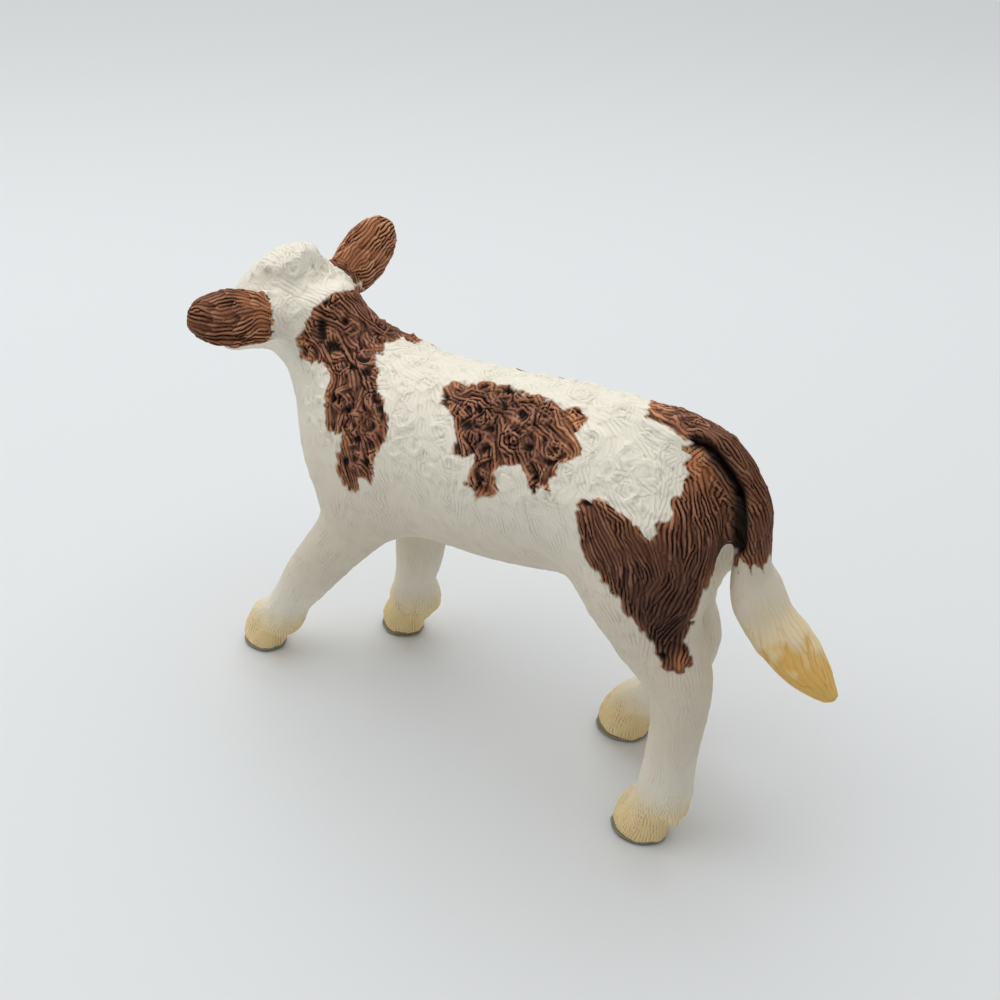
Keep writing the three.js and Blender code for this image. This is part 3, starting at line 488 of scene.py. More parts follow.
# ---------------- paint
# Outlines of the brown patches, in pixels of the photograph
NECK_PATCH = [
    (342, 291), (327, 298), (315, 307), (304, 330), (296, 340), (302, 358), (312, 362), (323, 364),
    (328, 372), (328, 384), (324, 395), (324, 420), (327, 430), (335, 433), (343, 433), (337, 454),
    (336, 472), (342, 485), (352, 495), (359, 489), (361, 479), (370, 484), (373, 475), (373, 458),
    (380, 447), (385, 435), (389, 418), (384, 399), (378, 384), (379, 372), (375, 361), (377, 351),
    (383, 351), (385, 343), (400, 339), (419, 342), (420, 330), (394, 318), (377, 303), (359, 286),
    (352, 288),
]
BACK_PATCH = [
    (453, 379), (466, 383), (484, 382), (497, 385), (506, 387), (517, 390), (528, 392), (541, 397),
    (555, 401), (565, 407), (580, 408), (587, 416), (585, 421), (579, 428), (576, 435), (579, 447),
    (579, 454), (570, 458), (559, 463), (556, 476), (549, 480), (549, 489), (539, 486), (533, 495),
    (528, 490), (523, 474), (518, 465), (506, 467), (499, 466), (494, 473), (495, 482), (498, 490),
    (491, 496), (477, 501), (475, 494), (465, 485), (466, 476), (472, 466), (472, 455), (459, 459),
    (453, 454), (455, 441), (455, 430), (453, 417), (449, 411), (440, 403), (441, 394), (446, 386),
]
RUMP_PATCH = [
    (651, 400), (645, 416), (660, 424), (674, 433), (690, 443), (680, 446), (689, 457), (684, 465),
    (689, 473), (684, 485), (680, 495), (669, 500), (672, 512), (670, 520), (654, 522), (657, 534),
    (651, 541), (644, 536), (636, 526), (626, 516), (614, 509), (607, 502), (598, 499), (586, 499),
    (576, 505), (576, 524), (580, 542), (588, 562), (600, 576), (612, 594), (628, 614), (644, 634),
    (654, 648), (662, 666), (668, 672), (684, 673), (693, 664), (689, 648), (684, 640), (693, 622),
    (701, 602), (711, 582), (721, 566), (730, 553), (760, 553), (800, 540), (790, 460), (730, 400),
    (680, 390),
]
SEEN_PATCHES = [NECK_PATCH, BACK_PATCH, RUMP_PATCH]
SEEN_CASTINGS = ("torso", "head", "hind_left_leg", "front_left_leg")
SEEN_EDGE = 0.04  # how far a surface has to face the camera to be painted through it
# Outlines on the side that the photograph doesn't show, as places along and up the body
HIDDEN_PATCHES = [
    [(-20, 50), (-21, 43), (-19, 38), (-16, 35), (-14, 30), (-11, 28), (-9, 32), (-8, 37), (-10, 41),
     (-6, 43), (-6, 50)],
    [(1, 50), (0, 42), (-1, 38), (2, 34), (4, 29), (7, 31), (9, 35), (12, 33), (14, 37), (12, 41), (11, 50)],
    [(21, 50), (23, 44), (26, 41), (24, 37), (19, 35), (18, 30), (21, 25), (24, 20), (27, 24), (29, 29),
     (40, 30), (40, 50)],
]
HIDDEN_CASTINGS = ("torso", "head", "hind_right_leg")
GRAINS = [(0.22, 0.45, 11), (0.22, 1.3, 12)]  # how ragged the paint's edges are: strength, size and seed
# Where the brown is rubbed to orange: place in the photograph, reach in pixels, and strength
ORANGE_SPOTS = [
    ((652, 408), 16, 1), ((690, 462), 22, 1), ((708, 470), 16, 0.8), ((682, 664), 14, 1),
    ((577, 415), 16, 0.9), ((662, 515), 14, 0.7), ((456, 382), 9, 0.7), ((574, 440), 12, 0.6),
    ((480, 497), 10, 0.6), ((385, 420), 9, 0.5), ((300, 345), 9, 0.6), ((354, 492), 9, 0.6),
    ((382, 352), 9, 0.6), ((458, 455), 8, 0.5), ((722, 500), 12, 0.4), ((340, 250), 13, 1),
    ((252, 297), 14, 0.9),
]
RUBBED_EDGE = 0.6
EAR_RUBBED = {"left_ear": 0.15, "right_ear": 0.55}  # least share of orange on each ear
RIGHT_EAR_AIM = np.array([-0.94, -0.17, 0.28])
RIGHT_EAR_PAINT, RIGHT_EAR_WIDTH = 1.8, 2.7  # where the ear's brown starts on the head, and how wide it is
# Painted shade: the brown is painted darker on the tail and low on the thigh
TAIL_SHADE, THIGH_SHADE = 0.33, 0.85  # how much darker the brown is on the tail and low on the thigh
OCHRE_END = 26.8
PIXEL_SIZE = 0.108  # in millimetres, on the body

UP = np.array([0.0, 0.0, 1.0])
view_line = unit(CAMERA_TARGET - CAMERA_PLACE)
view_right = unit(np.cross(view_line, UP))
view_up = np.cross(view_right, view_line)


def pixels(points):
    """Where body points appear in the photograph."""
    offset = points - CAMERA_PLACE
    away = offset @ view_line
    across = PICTURE / 2 + FOCAL_PIXELS * (offset @ view_right) / away
    down = PICTURE / 2 - FOCAL_PIXELS * (offset @ view_up) / away
    return np.stack([across, down], axis=1)


def path_distance(places, path):
    """Distance from an open path."""
    corners = np.array(path, float)
    found = np.full(len(places), np.inf)
    for start, end in zip(corners[:-1], corners[1:]):
        offset, span = places - start, end - start
        share = np.clip(offset @ span / (span @ span), 0, 1)
        found = np.minimum(found, np.linalg.norm(offset - share[:, None] * span, axis=1))
    return found


def inside_depth(places, outline):
    """Distance from the outline, positive inside it."""
    corners = np.array(outline, float)
    crossings = np.zeros(len(places), int)
    for start, end in zip(corners, np.roll(corners, -1, axis=0)):
        straddles = (start[1] > places[:, 1]) != (end[1] > places[:, 1])
        if start[1] != end[1]:
            at = start[0] + (places[:, 1] - start[1]) * (end[0] - start[0]) / (end[1] - start[1])
            crossings += straddles & (places[:, 0] < at)
    edge = path_distance(places, [*outline, outline[0]])
    return np.where(crossings % 2 == 1, edge, -edge)


# The head's own directions
POLL = np.array([-1.0, -22.42, 45.2])
HEAD_TURN, HEAD_DROP = math.radians(-5), math.radians(30)
HEAD_LENGTH, HEAD_WIDTH, HEAD_DEPTH = HEAD_SIZE = 16.5, 9.8, 10.0
head_forward = np.array([math.sin(HEAD_TURN), -math.cos(HEAD_TURN), 0.0])
head_side = np.array([math.cos(HEAD_TURN), math.sin(HEAD_TURN), 0.0])
nose_way = head_forward * math.cos(HEAD_DROP) - math.sin(HEAD_DROP) * UP
head_rise = np.cross(nose_way, head_side)

# The face: places in shares of the head's length, width and depth, and depths in millimetres
NOSTRIL_PLACE, NOSTRIL_DEPTH, NOSTRIL_REACH = (0.95, 0.22, 0.03), 0.75, 0.8
MOUTH_LEVEL, MOUTH_WIDTH, MOUTH_DEPTH, MOUTH_PAINT = 0.235, 0.28, 0.4, 0.75
EYE_PLACE, EYE_SIDE = (0.36, 0.46, 0.08), 0.2
EYE_OVAL, LID_OVAL = (1.05, 0.85), (1.35, 1.1)
LID_RINGS = [(0.24, 1.05, 0.2), (-0.2, 1.45, 0.25)]  # height, distance from the eye's middle, and width

# The hooves: where each foot stands
HOOVES = {
    "front_left_leg": (5.9, -26.84), "front_right_leg": (-5.9, -15.04),
    "hind_left_leg": (6.1, 25.96), "hind_right_leg": (-6.1, 16.36),
}


def head_shares(points):
    """Shares along the head, sideways and up of body points."""
    offset = points - POLL
    ways = (nose_way, head_side, head_rise)
    return np.stack([offset @ way / size for way, size in zip(ways, HEAD_SIZE)], axis=1)


def on_side(place, side):
    """One of a pair of places on the head."""
    return np.array([place[0], side * place[1], place[2]])


def nostril_distance(shares, side):
    """Distance from one nostril's middle, short along the nostril's length."""
    offset = (shares - on_side(NOSTRIL_PLACE, side)) * np.array(HEAD_SIZE)
    leant = offset[:, 2] + 0.4 * side * offset[:, 1]
    return np.hypot(np.hypot(offset[:, 0], offset[:, 1]), 0.6 * leant)


def mouth_mark(shares):
    """1 along the line between the lips and 0 away from it."""
    level = (shares[:, 2] + MOUTH_LEVEL + 0.05 * (1 - shares[:, 0])) * HEAD_DEPTH
    return bell(level, MOUTH_WIDTH) * ramp(shares[:, 0], 0.62, 0.72)


def eye_distance(shares, side, oval):
    """Distance from one eye's middle, which is 1 on the oval."""
    offset = shares - on_side(EYE_PLACE, side)
    return np.hypot(offset[:, 0] * HEAD_LENGTH / oval[0], offset[:, 2] * HEAD_DEPTH / oval[1])


def ear_base(points):
    """Where the right ear's brown reaches onto the head."""
    offset = points - np.array(EAR_ROOTS["right_ear"])
    along = offset @ RIGHT_EAR_AIM
    beside = np.linalg.norm(offset - along[:, None] * RIGHT_EAR_AIM, axis=1)
    return (along > RIGHT_EAR_PAINT) & (beside < RIGHT_EAR_WIDTH)


def patch_depth(points, normals, names, places):
    """How deep each point lies inside a brown patch, in millimetres."""
    x, y, z = points.T
    depth = np.full(len(points), -9.0)
    seen = normals @ -view_line > SEEN_EDGE
    inner_leg = ((x < 0) | (normals[:, 0] < -0.25)) & (y > 5) & (z < 34)
    allowed = np.isin(names, SEEN_CASTINGS) & seen & (x > -9) & ~inner_leg
    middle = np.interp(z, (33, 36), (-1.0, 1.5))
    hidden = np.isin(names, HIDDEN_CASTINGS) & ~seen & (x < middle) & (normals[:, 0] < 0.3)
    for chosen, patches, at, scale in (
        (allowed, SEEN_PATCHES, places, PIXEL_SIZE), (hidden, HIDDEN_PATCHES, points[:, 1:], 1),
    ):
        for outline in patches:
            depth[chosen] = np.maximum(depth[chosen], inside_depth(at[chosen], outline) * scale)
    return depth


def rubbed(points, normals, names, places, depth, ear_run):
    """Share of orange in the brown, where it is rubbed thin."""
    seen = normals @ -view_line > SEEN_EDGE
    orange = bell(depth, RUBBED_EDGE) * (0.55 + 0.3 * noise(points, 4.0, 14))
    for place, reach, strength in ORANGE_SPOTS:
        apart = np.linalg.norm(places - np.array(place), axis=1)
        orange = np.maximum(orange, np.where(seen, strength * bell(apart, reach), 0))
    for name, least in EAR_RUBBED.items():
        by_root = np.clip(1.2 - (ear_run - 1.5) / 4.0, least, 1.0)
        orange = np.where(names == name, np.maximum(orange, by_root), orange)
    return np.where(names == "tail", 0.18 + 0.3 * bell(points[:, 2] - TAIL_BROWN_END, 1.2), orange)


def hoof_share(points, names, grain):
    """1 on the horn of the hooves, whose edge rises towards the toe."""
    hoof = np.zeros(len(points))
    for name, foot in HOOVES.items():
        chosen = names == name
        ahead = np.clip(-(points[chosen, 1] - foot[1]) / 3.2, -1, 1)
        line = 0.3 + 0.25 * (1 + ahead) + 1.2 * np.maximum(ahead, 0) ** 1.5
        hoof[chosen] = ramp(line - points[chosen, 2] + 0.5 * grain[chosen], -0.1, 0.1)
    return hoof


def face_masks(points, normals, names, ear_run, grain):
    """The paint of the muzzle, ear linings, nostrils, mouth and eyes."""
    head = names == "head"
    shares = head_shares(points)
    muzzle = ramp(shares[:, 0] + 0.1 * np.abs(shares[:, 1]) + 0.05 * grain, 0.8, 0.96)
    lining = ramp(normals @ head_forward, 0.5, 0.9) * ramp(9.6 - ear_run, 0.0, 1.6)
    nostril = MOUTH_PAINT * mouth_mark(shares) ** 2
    eye = np.zeros(len(points))
    for side in (1, -1):
        nostril = np.maximum(nostril, ramp(-nostril_distance(shares, side), -1.05, -0.7))
        oval = ramp(-eye_distance(shares, side, EYE_OVAL), -1.06, -0.94)
        eye = np.maximum(eye, np.where(head & (side * shares[:, 1] > EYE_SIDE), oval, 0))
    pink = np.where(head, muzzle, np.where(np.isin(names, EARS), lining, 0.0))
    return {"pink": pink, "nostril": np.where(head, nostril, 0.0), "eye": eye}


def paint_masks(points, normals, names, clump):
    """Shares of each paint at every point."""
    places = pixels(points)
    height = points[:, 2]
    grain = noise_sum(points, GRAINS)
    depth = patch_depth(points, normals, names, places)
    ear_run = np.full(len(points), 9.0)
    for name, root in EAR_ROOTS.items():
        chosen = names == name
        ear_run[chosen] = np.linalg.norm(points[chosen] - np.array(root), axis=1)
    tail = names == "tail"
    tufts = 1.4 * (0.7 - clump)  # ragged ends where the tail's paint changes
    masks = {}
    brown = ramp(depth + grain + 0.3 * (clump - 0.6), -0.12, 0.16)
    brown = np.where(np.isin(names, EARS) | ((names == "head") & ear_base(points)), 1.0, brown)
    tail_brown = ramp(height - TAIL_BROWN_END + grain * 2.2 + tufts, -0.2, 0.2)
    masks["brown"] = np.where(tail, tail_brown, brown)
    orange = rubbed(points, normals, names, places, depth, ear_run)
    masks["orange"] = np.clip(orange + 0.35 * grain, 0, 1)
    thigh = np.isin(names, ("torso", "hind_left_leg")) & (points[:, 1] > 10)
    # Painted shade: the brown darker low on the thigh and on the tail, less where it is orange
    shade = np.where(thigh, THIGH_SHADE * ramp(-height, -44.0, -24.0), 0.0)
    masks["shade"] = np.where(tail, TAIL_SHADE, shade * (1 - 0.75 * masks["orange"]))
    legs = np.isin(names, tuple(HOOVES))
    cream = np.where(legs, ramp(-height + 0.8 * grain, -9.0, -3.0), 0.0)
    tuft_cream = ramp(-height + 1.2 * noise(points, 1.6, 15), -33.0, -26.0)
    masks["cream"] = np.where(tail, 0.8 * tuft_cream, cream)
    # Painted shade: the white is painted darker low on the body, less so on the lower legs, and all over the
    # tail
    white_shade = ramp(-height + 1.5 * grain, -42.0, -24.0)
    white_shade *= 1 - 0.7 * ramp(-height, -17.0, -8.0)
    masks["white_shade"] = np.where(tail, 1.0, white_shade)
    ochre = OCHRE_END - height + 1.8 * noise(points, 1.2, 13) + grain + tufts
    masks["ochre"] = np.where(tail, ramp(ochre, -1.2, 1.6), 0.0)
    masks["hoof"] = hoof_share(points, names, grain)
    return masks | face_masks(points, normals, names, ear_run, grain)


def face_relief(points, names):
    """How far each point of the face is moved along its normal."""
    moved = np.zeros(len(points))
    shares = head_shares(points)
    for side in (1, -1):
        around = eye_distance(shares, side, LID_OVAL)
        here = side * shares[:, 1] > EYE_SIDE
        for height, place, width in LID_RINGS:
            moved += np.where(here, height * bell(around - place, width), 0)
        moved -= NOSTRIL_DEPTH * bell(nostril_distance(shares, side), NOSTRIL_REACH)
    moved -= MOUTH_DEPTH * mouth_mark(shares)
    return np.where(names == "head", moved, 0.0)


# The channel between the tail and the rump, carved and darkened with painted shade, in pixels of the
# photograph
CHANNEL = [(695, 441), (704, 443), (713, 451), (723, 465), (733, 478), (739, 490), (740, 515), (739, 547)]
CHANNEL_DEPTH = 1.3
CHANNEL_REACH, CHANNEL_PAINT_REACH = 5.5, 7.5
CHANNEL_START, CHANNEL_SIDE = 24.0, -2.0  # the channel lies behind and to the left of these
# Hollows under the patches' curls, carved and given painted shade: place in the photograph, and reach across
# and down in pixels
HOLLOWS = [
    (321, 330, 4.5, 12), (332, 346, 7, 5), (346, 321, 3.5, 3.5), (326, 301, 2.5, 4),
    (366, 371, 5, 4), (352, 366, 3, 2.5), (380, 408, 3, 4), (346, 410, 5, 4),
    (333, 398, 3, 4), (356, 440, 3.5, 3), (345, 462, 3, 4), (366, 462, 2.5, 3),
    (445, 398, 3, 6), (466, 425, 6, 5.5), (489, 428, 4, 3.5), (521, 412, 3.5, 3),
    (509, 389, 6, 2.5), (504, 405, 3, 3.5), (478, 408, 3, 2.5), (528, 447, 3.5, 3.5),
    (548, 462, 3, 3), (479, 484, 3, 4), (536, 478, 3, 4), (586, 503, 4, 3),
    (662, 657, 4, 3), (699, 443, 6, 3),
]
HOLLOW_DEPTH = 0.45
POLL_DROP, POLL_TOP = 0.12, (48.8, 50.0)  # keeps the poll's tuft inside the CAD's height
# The ears' hollows get a deeper dark wash and painted shade
EAR_CONTRAST = 1.6  # how much more the ears' hollows are darkened
RELIEF_TURNS = 36  # how far the skin is smoothed to tell its hollows from its humps
# How deep the relief is, and pairs of how deep it is in white hair and how much deeper in brown
STROKE_SHARE, LOCK_SHARE, CLUMP_SHARE, CURLY_SHARE = 0.7, 0.5, 0.5, 0.75
STROKES_BY_COAT, CLUMPS_BY_COAT = (0.42, 1.0), (0.5, 0.7)
PITS_BY_COAT, HUMPS_BY_COAT = (0.2, 0.2), (0.18, 0.06)
TUFT_VIGOUR = 0.5
OCHRE_DROP = 0.2
HOOF_DROP, HOOF_LINE_DEPTH, HOOF_LINE_PITCH, HOOF_LINE_SHADE = 0.14, 0.05, 0.42, 0.09
# Painted shade in the curls' pits, the channel and the hollows
CURL_PIT_SHADE, CHANNEL_SHADE, HOLLOW_SHADE = 0.5, 1.9, 1.3


def by_coat(brown, pair):
    return pair[0] + pair[1] * brown


def lows(points, normals, edges):
    """How far each point lies under its surroundings."""
    blurred = points
    for _ in range(RELIEF_TURNS):
        blurred = 0.5 * (blurred + neighbour_means(blurred, edges))
    return np.sum((blurred - points) * normals, axis=1)


def hollows(places):
    """Shares of the dark hollows at these places of the photograph."""
    found = np.zeros(len(places))
    for x, y, across, down in HOLLOWS:
        away = ((places[:, 0] - x) / across) ** 2 + ((places[:, 1] - y) / down) ** 2
        found = np.maximum(found, np.exp(-away))
    return found


def shaped(skin, names):
    """Carves, combs and paints a skin, and gives its masks."""
    points = points_of(skin)
    points = points + face_relief(points, names)[:, None] * normals_of(skin)
    set_points(skin, points)
    normals = normals_of(skin)
    height = points[:, 2]
    fur = comb(points, normals, names)
    masks = paint_masks(points, normals, names, fur["clump"])
    fur["vigour"] *= np.where((names == "tail") & (height < TAIL_BROWN_END), TUFT_VIGOUR, 1.0)
    brown, hoof = masks["brown"], masks["hoof"]
    furred = (1 - hoof) * (1 - 0.8 * masks["pink"]) * (1 - masks["eye"]) * ramp(height, 0.1, 0.5)
    depth = fur["depth"] * fur["vigour"] * by_coat(brown, STROKES_BY_COAT)
    clump_depth = fur["depth"] * (CLUMP_SHARE + CURLY_SHARE * fur["curly"])
    clump_depth = clump_depth * by_coat(brown, CLUMPS_BY_COAT)
    lowered = STROKE_SHARE * depth * (1 - crest_of(fur["stroke"], STROKE_SHARPNESS))
    lowered += clump_depth * (1 - fur["clump"]) + LOCK_SHARE * fur["depth"] * (1 - fur["lock"])
    lowered += by_coat(brown, PITS_BY_COAT) * fur["pit"] - by_coat(brown, HUMPS_BY_COAT) * fur["hump"]
    moved = -furred * lowered - OCHRE_DROP * masks["ochre"] - POLL_DROP * ramp(height, *POLL_TOP)

    seen = normals @ -view_line > 0.0
    places = pixels(points)
    hollow = np.where(seen, hollows(places), 0.0) * brown
    moved -= HOLLOW_DEPTH * hollow
    rear = np.isin(names, ("torso", "tail")) & (points[:, 1] > CHANNEL_START) & (points[:, 0] > CHANNEL_SIDE)
    apart = path_distance(places, CHANNEL)
    moved -= CHANNEL_DEPTH * np.where(rear & seen, bell(apart, CHANNEL_REACH), 0.0)
    channel = np.where(rear, bell(apart, CHANNEL_PAINT_REACH), 0.0)
    hoof_lines = 1 - np.abs(np.sin(height * math.pi / HOOF_LINE_PITCH + noise(points, 1.5, 31) * 1.5))
    moved -= hoof * (HOOF_DROP + HOOF_LINE_DEPTH * hoof_lines) * ramp(height, 0.1, 0.3)

    shape = points + moved[:, None] * normals
    set_points(skin, shape)
    edges = edges_of(skin)
    # The paint darkens the skin where it lies low, a dark wash and painted shade; on the hooves, painted
    # shade in the lines
    low = lows(shape, normals, edges) - lows(points, normals, edges)
    low *= np.where(np.isin(names, EARS), EAR_CONTRAST, 1.0)
    masks["low"] = np.where(hoof > 0.5, HOOF_LINE_SHADE * hoof_lines, low * furred)
    masks["wave_cos"], masks["wave_sin"] = np.cos(fur["stroke"]), np.sin(fur["stroke"])
    masks["vigour"] = fur["vigour"] * furred
    masks["depth"] = depth * furred
    # Painted shade in the curls' pits, in the channel and in the hollows under the curls
    pit = CURL_PIT_SHADE * fur["pit"] * furred + CHANNEL_SHADE * channel + HOLLOW_SHADE * hollow
    masks["pit"] = np.clip(pit, 0, 1)
    return masks


skin, skin_names = closed_skin()
skin_masks = shaped(skin, skin_names)


# ---------------- parting
# The parting planes, as the castings have them
NECK_BASE = np.array([0.0, -9.02, 33.0])
NECK_SHARE = 0.74
EAR_SHARE, EAR_LENGTH = 0.2, 12.4
EAR_ROOM = (8.32, 6.6, 12.4)
FORE_CUT, HIND_CUT, HIND_BLOCK = 20.39, 24.31, 10.51
SPAN = 80.0
TAIL_GROWTH = 0.16


def block(place, aim, side, width, height, length):
    """A box from a parting plane outward, as a mesh in the body's frame."""
    aim = unit(np.array(aim, float))
    side = np.array(side, float)
    side = unit(side - aim * (side @ aim))
    rise = np.cross(aim, side)
    corners = [
        np.array(place) + a * width * side + b * height * rise + c * length * aim
        for a, b, c in itertools.product((-0.5, 0.5), (-0.5, 0.5), (0.0, 1.0))
    ]
    faces = [(0, 1, 3, 2), (4, 6, 7, 5), (0, 4, 5, 1), (2, 3, 7, 6), (0, 2, 6, 4), (1, 5, 7, 3)]
    return mesh_of(np.array(corners), np.array(faces))


def split(mesh, tool):
    """The mesh's part inside the tool, and the rest of it."""
    other = new_object("tool", tool)
    steps = ("INTERSECT", "DIFFERENCE")
    made = [modified(mesh, "BOOLEAN", operation=step, solver="MANIFOLD", object=other) for step in steps]
    bpy.data.objects.remove(other)
    return made


def leg_block(name):
    x = SPAN / 2 if "left" in name else -SPAN / 2
    place = (x, -SPAN / 2, FORE_CUT) if name.startswith("front") else (x, HIND_BLOCK + SPAN / 2, HIND_CUT)
    return block(place, (0, 0, -1), (1, 0, 0), SPAN, SPAN, SPAN)


def ear_block(side):
    root = POLL + head_side * side * 0.37 * HEAD_WIDTH - head_rise * 0.12 * HEAD_DEPTH
    aim = unit(head_side * side * 0.95 + head_forward * 0.19 + 0.28 * UP)
    back = -head_forward * 0.9 + 0.43 * UP
    back = unit(back - aim * (back @ aim))
    return block(root + aim * EAR_SHARE * EAR_LENGTH, aim, np.cross(back, aim), *EAR_ROOM)


def tail_solid():
    """The tail's casting with half its parting gap, as a mesh."""
    points, faces, _ = grown_solid(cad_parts["tail"].data, TAIL_GROWTH)
    return mesh_of(points, faces)


def neck_block():
    place = NECK_BASE + NECK_SHARE * (POLL - NECK_BASE)
    return block(place, POLL - NECK_BASE, (1, 0, 0), SPAN, SPAN, SPAN)


def parted():
    """The skin as one mesh for each casting."""
    meshes = {}
    meshes["tail"], rest = split(skin, tail_solid())
    for name in HOOVES:
        meshes[name], rest = split(rest, leg_block(name))
    head, meshes["torso"] = split(rest, neck_block())
    for name, side in (("left_ear", 1), ("right_ear", -1)):
        meshes[name], head = split(head, ear_block(side))
    meshes["head"] = head
    return meshes


def masked(mesh):
    """Gives a piece the masks of the skin under its points."""
    near, _ = nearest(points_of(skin), points_of(mesh), 1)
    for name, values in skin_masks.items():
        layer = mesh.attributes.new(name, "FLOAT", "POINT")
        layer.data.foreach_set("value", values[near[:, 0]].astype(np.float32))


# ---------------- materials
def linear(red, green, blue):
    """A colour in 0-255 display values as the shader's own numbers."""
    shares = np.array([red, green, blue]) / 255
    low = shares / 12.92
    high = ((shares + 0.055) / 1.055) ** 2.4
    return (*np.where(shares <= 0.04045, low, high).tolist(), 1.0)


class Painter:
    """Builds the nodes of one material or of the world."""

    def __init__(self, owner, shader="Principled BSDF"):
        owner.use_nodes = True
        self.tree = owner.node_tree
        self.shader = self.tree.nodes[shader]

    def node(self, kind, **settings):
        made = self.tree.nodes.new(kind)
        for key, value in settings.items():
            setattr(made, key, value)
        return made

    def feed(self, node, values):
        """Links or sets the named or numbered inputs of a node. A tuple is a colour."""
        for key, value in values.items():
            if isinstance(value, bpy.types.NodeSocket):
                self.tree.links.new(value, node.inputs[key])
            else:
                node.inputs[key].default_value = linear(*value) if isinstance(value, tuple) else value

    def mask(self, name):
        return self.node("ShaderNodeAttribute", attribute_name=name).outputs["Fac"]

    def place(self):
        return self.node("ShaderNodeTexCoord").outputs["Object"]

    def noise(self, scale):
        made = self.node("ShaderNodeTexNoise")
        self.feed(made, {"Vector": self.place(), "Scale": scale, "Detail": 3.0, "Roughness": 0.6})
        return made.outputs["Fac"]

    def span(self, value, low, high, start=0.0, end=1.0):
        made = self.node("ShaderNodeMapRange", interpolation_type="SMOOTHSTEP")
        self.feed(made, {"Value": value, "From Min": low, "From Max": high, "To Min": start, "To Max": end})
        return made.outputs["Result"]

    def sums(self, operation, first, second=0.0):
        made = self.node("ShaderNodeMath", operation=operation)
        self.feed(made, {0: first, 1: second})
        return made.outputs["Value"]

    def times(self, first, second):
        return self.sums("MULTIPLY", first, second)

    def mix(self, share, first, second):
        made = self.node("ShaderNodeMix", data_type="RGBA")
        self.feed(made, {0: share, 6: first, 7: second})
        return made.outputs[2]


# Colours, in 0-255 display values
# Groove colours: a dark wash and painted shade. Brown and orange ridge colours: painted highlight, partly
# dry-brushed
WHITE_RIDGE, WHITE_GROOVE, WHITE_WASH_AND_SHADE = (237, 232, 216), (176, 166, 146), (222, 215, 197)
# The white in painted shade, low on the body and on the tail
SHADED_WHITE = (219, 209, 190)
BROWN_RIDGE, BROWN_MIDDLE, BROWN_GROOVE = (182, 128, 99), (108, 68, 50), (20, 10, 7)
ORANGE_RIDGE, ORANGE_GROOVE = (236, 176, 126), (188, 120, 78)
CREAM_RIDGE, CREAM_GROOVE = (242, 216, 158), (200, 166, 108)
OCHRE_RIDGE, OCHRE_GROOVE = (228, 185, 105), (180, 126, 56)
HOOF_RIDGE, HOOF_GROOVE = (146, 138, 112), (66, 60, 48)
PINK, NOSTRIL, EYE = (206, 170, 152), (70, 44, 38), (18, 12, 10)
PAINT_LAYERS = {
    "torso": ("brown",), "head": ("brown", "pink", "nostril", "eye"),
    "left_ear": ("brown", "pink"), "right_ear": ("brown", "pink"),
    "front_left_leg": ("cream", "hoof"), "front_right_leg": ("cream", "hoof"),
    "hind_left_leg": ("cream", "brown", "hoof"), "hind_right_leg": ("cream", "brown", "hoof"),
    "tail": ("cream", "brown", "ochre"),
}
STROKE_NOISE, GRAIN_NOISE, STAIN_NOISE, BROAD_NOISE = 1500.0, 2600.0, 420.0, 150.0
STROKE_WOBBLE, FURROW_EDGE = 1.6, (0.06, 0.7)
GRAIN_DEPTH, HOLLOW_EDGE, RIDGE_EDGE = 0.05, (0.0, 0.16), (-0.02, 0.1)
WASH_AND_SHADE_EDGE, HOLLOW_WASH_AND_SHADE, FURROW_WASH_AND_SHADE = (0.35, 0.7), 0.42, 0.12
# The brown's lighter ridges are a dry-brush and painted highlight
WORN_EDGE, WORN_RANGE = (0.75, 1.25), (0.3, 1.0)  # how far the brown's light ridges are worn off
DARK_COVER, COVER = 0.9, {"cream": 0.9, "pink": 0.7}  # how much of what is under a paint it hides
COAT_ROUGHNESS, COAT_SPECULAR = 0.55, 0.16
EYE_ROUGHNESS, EYE_RIM = 0.12, (0.3, 0.7)
BUMP_STRENGTH = 0.7


def strokes(paint):
    """1 on a stroke of the comb and 0 in the fine furrow beside it, from the wave's two masks."""
    angle = paint.sums("ARCTAN2", paint.mask("wave_sin"), paint.mask("wave_cos"))
    wobble = paint.times(paint.sums("SUBTRACT", paint.noise(STROKE_NOISE), 0.5), STROKE_WOBBLE)
    half = paint.times(paint.sums("ADD", angle, wobble), 0.5)
    return paint.span(paint.sums("ABSOLUTE", paint.sums("SINE", half)), *FURROW_EDGE)


def brown_paint(paint, stroke, furrow, hollow, ridge, stain):
    """Brown with lighter ridges, a dry-brush and painted highlight; a dark wash and painted shade in its
    hollows; and the orange where it is rubbed off.
    """
    worn = paint.span(paint.sums("ADD", stain, paint.noise(BROAD_NOISE)), *WORN_EDGE, *WORN_RANGE)
    # Painted highlight, partly a dry-brush: lighter where the skin stands high and on the strokes' crests
    lit = paint.times(paint.times(ridge, stroke), worn)
    brown = paint.mix(lit, BROWN_MIDDLE, BROWN_RIDGE)
    brown = paint.mix(paint.mask("orange"), brown, paint.mix(lit, ORANGE_GROOVE, ORANGE_RIDGE))
    # A dark wash and painted shade in the furrows and hollows, then painted shade in the pits and low on the
    # thigh and tail
    dark = paint.sums("MAXIMUM", paint.times(hollow, DARK_COVER), furrow)
    pit = paint.times(paint.mask("pit"), DARK_COVER)
    for share in (paint.sums("MINIMUM", dark, 1.0), pit, paint.mask("shade")):
        brown = paint.mix(share, brown, BROWN_GROOVE)
    return brown


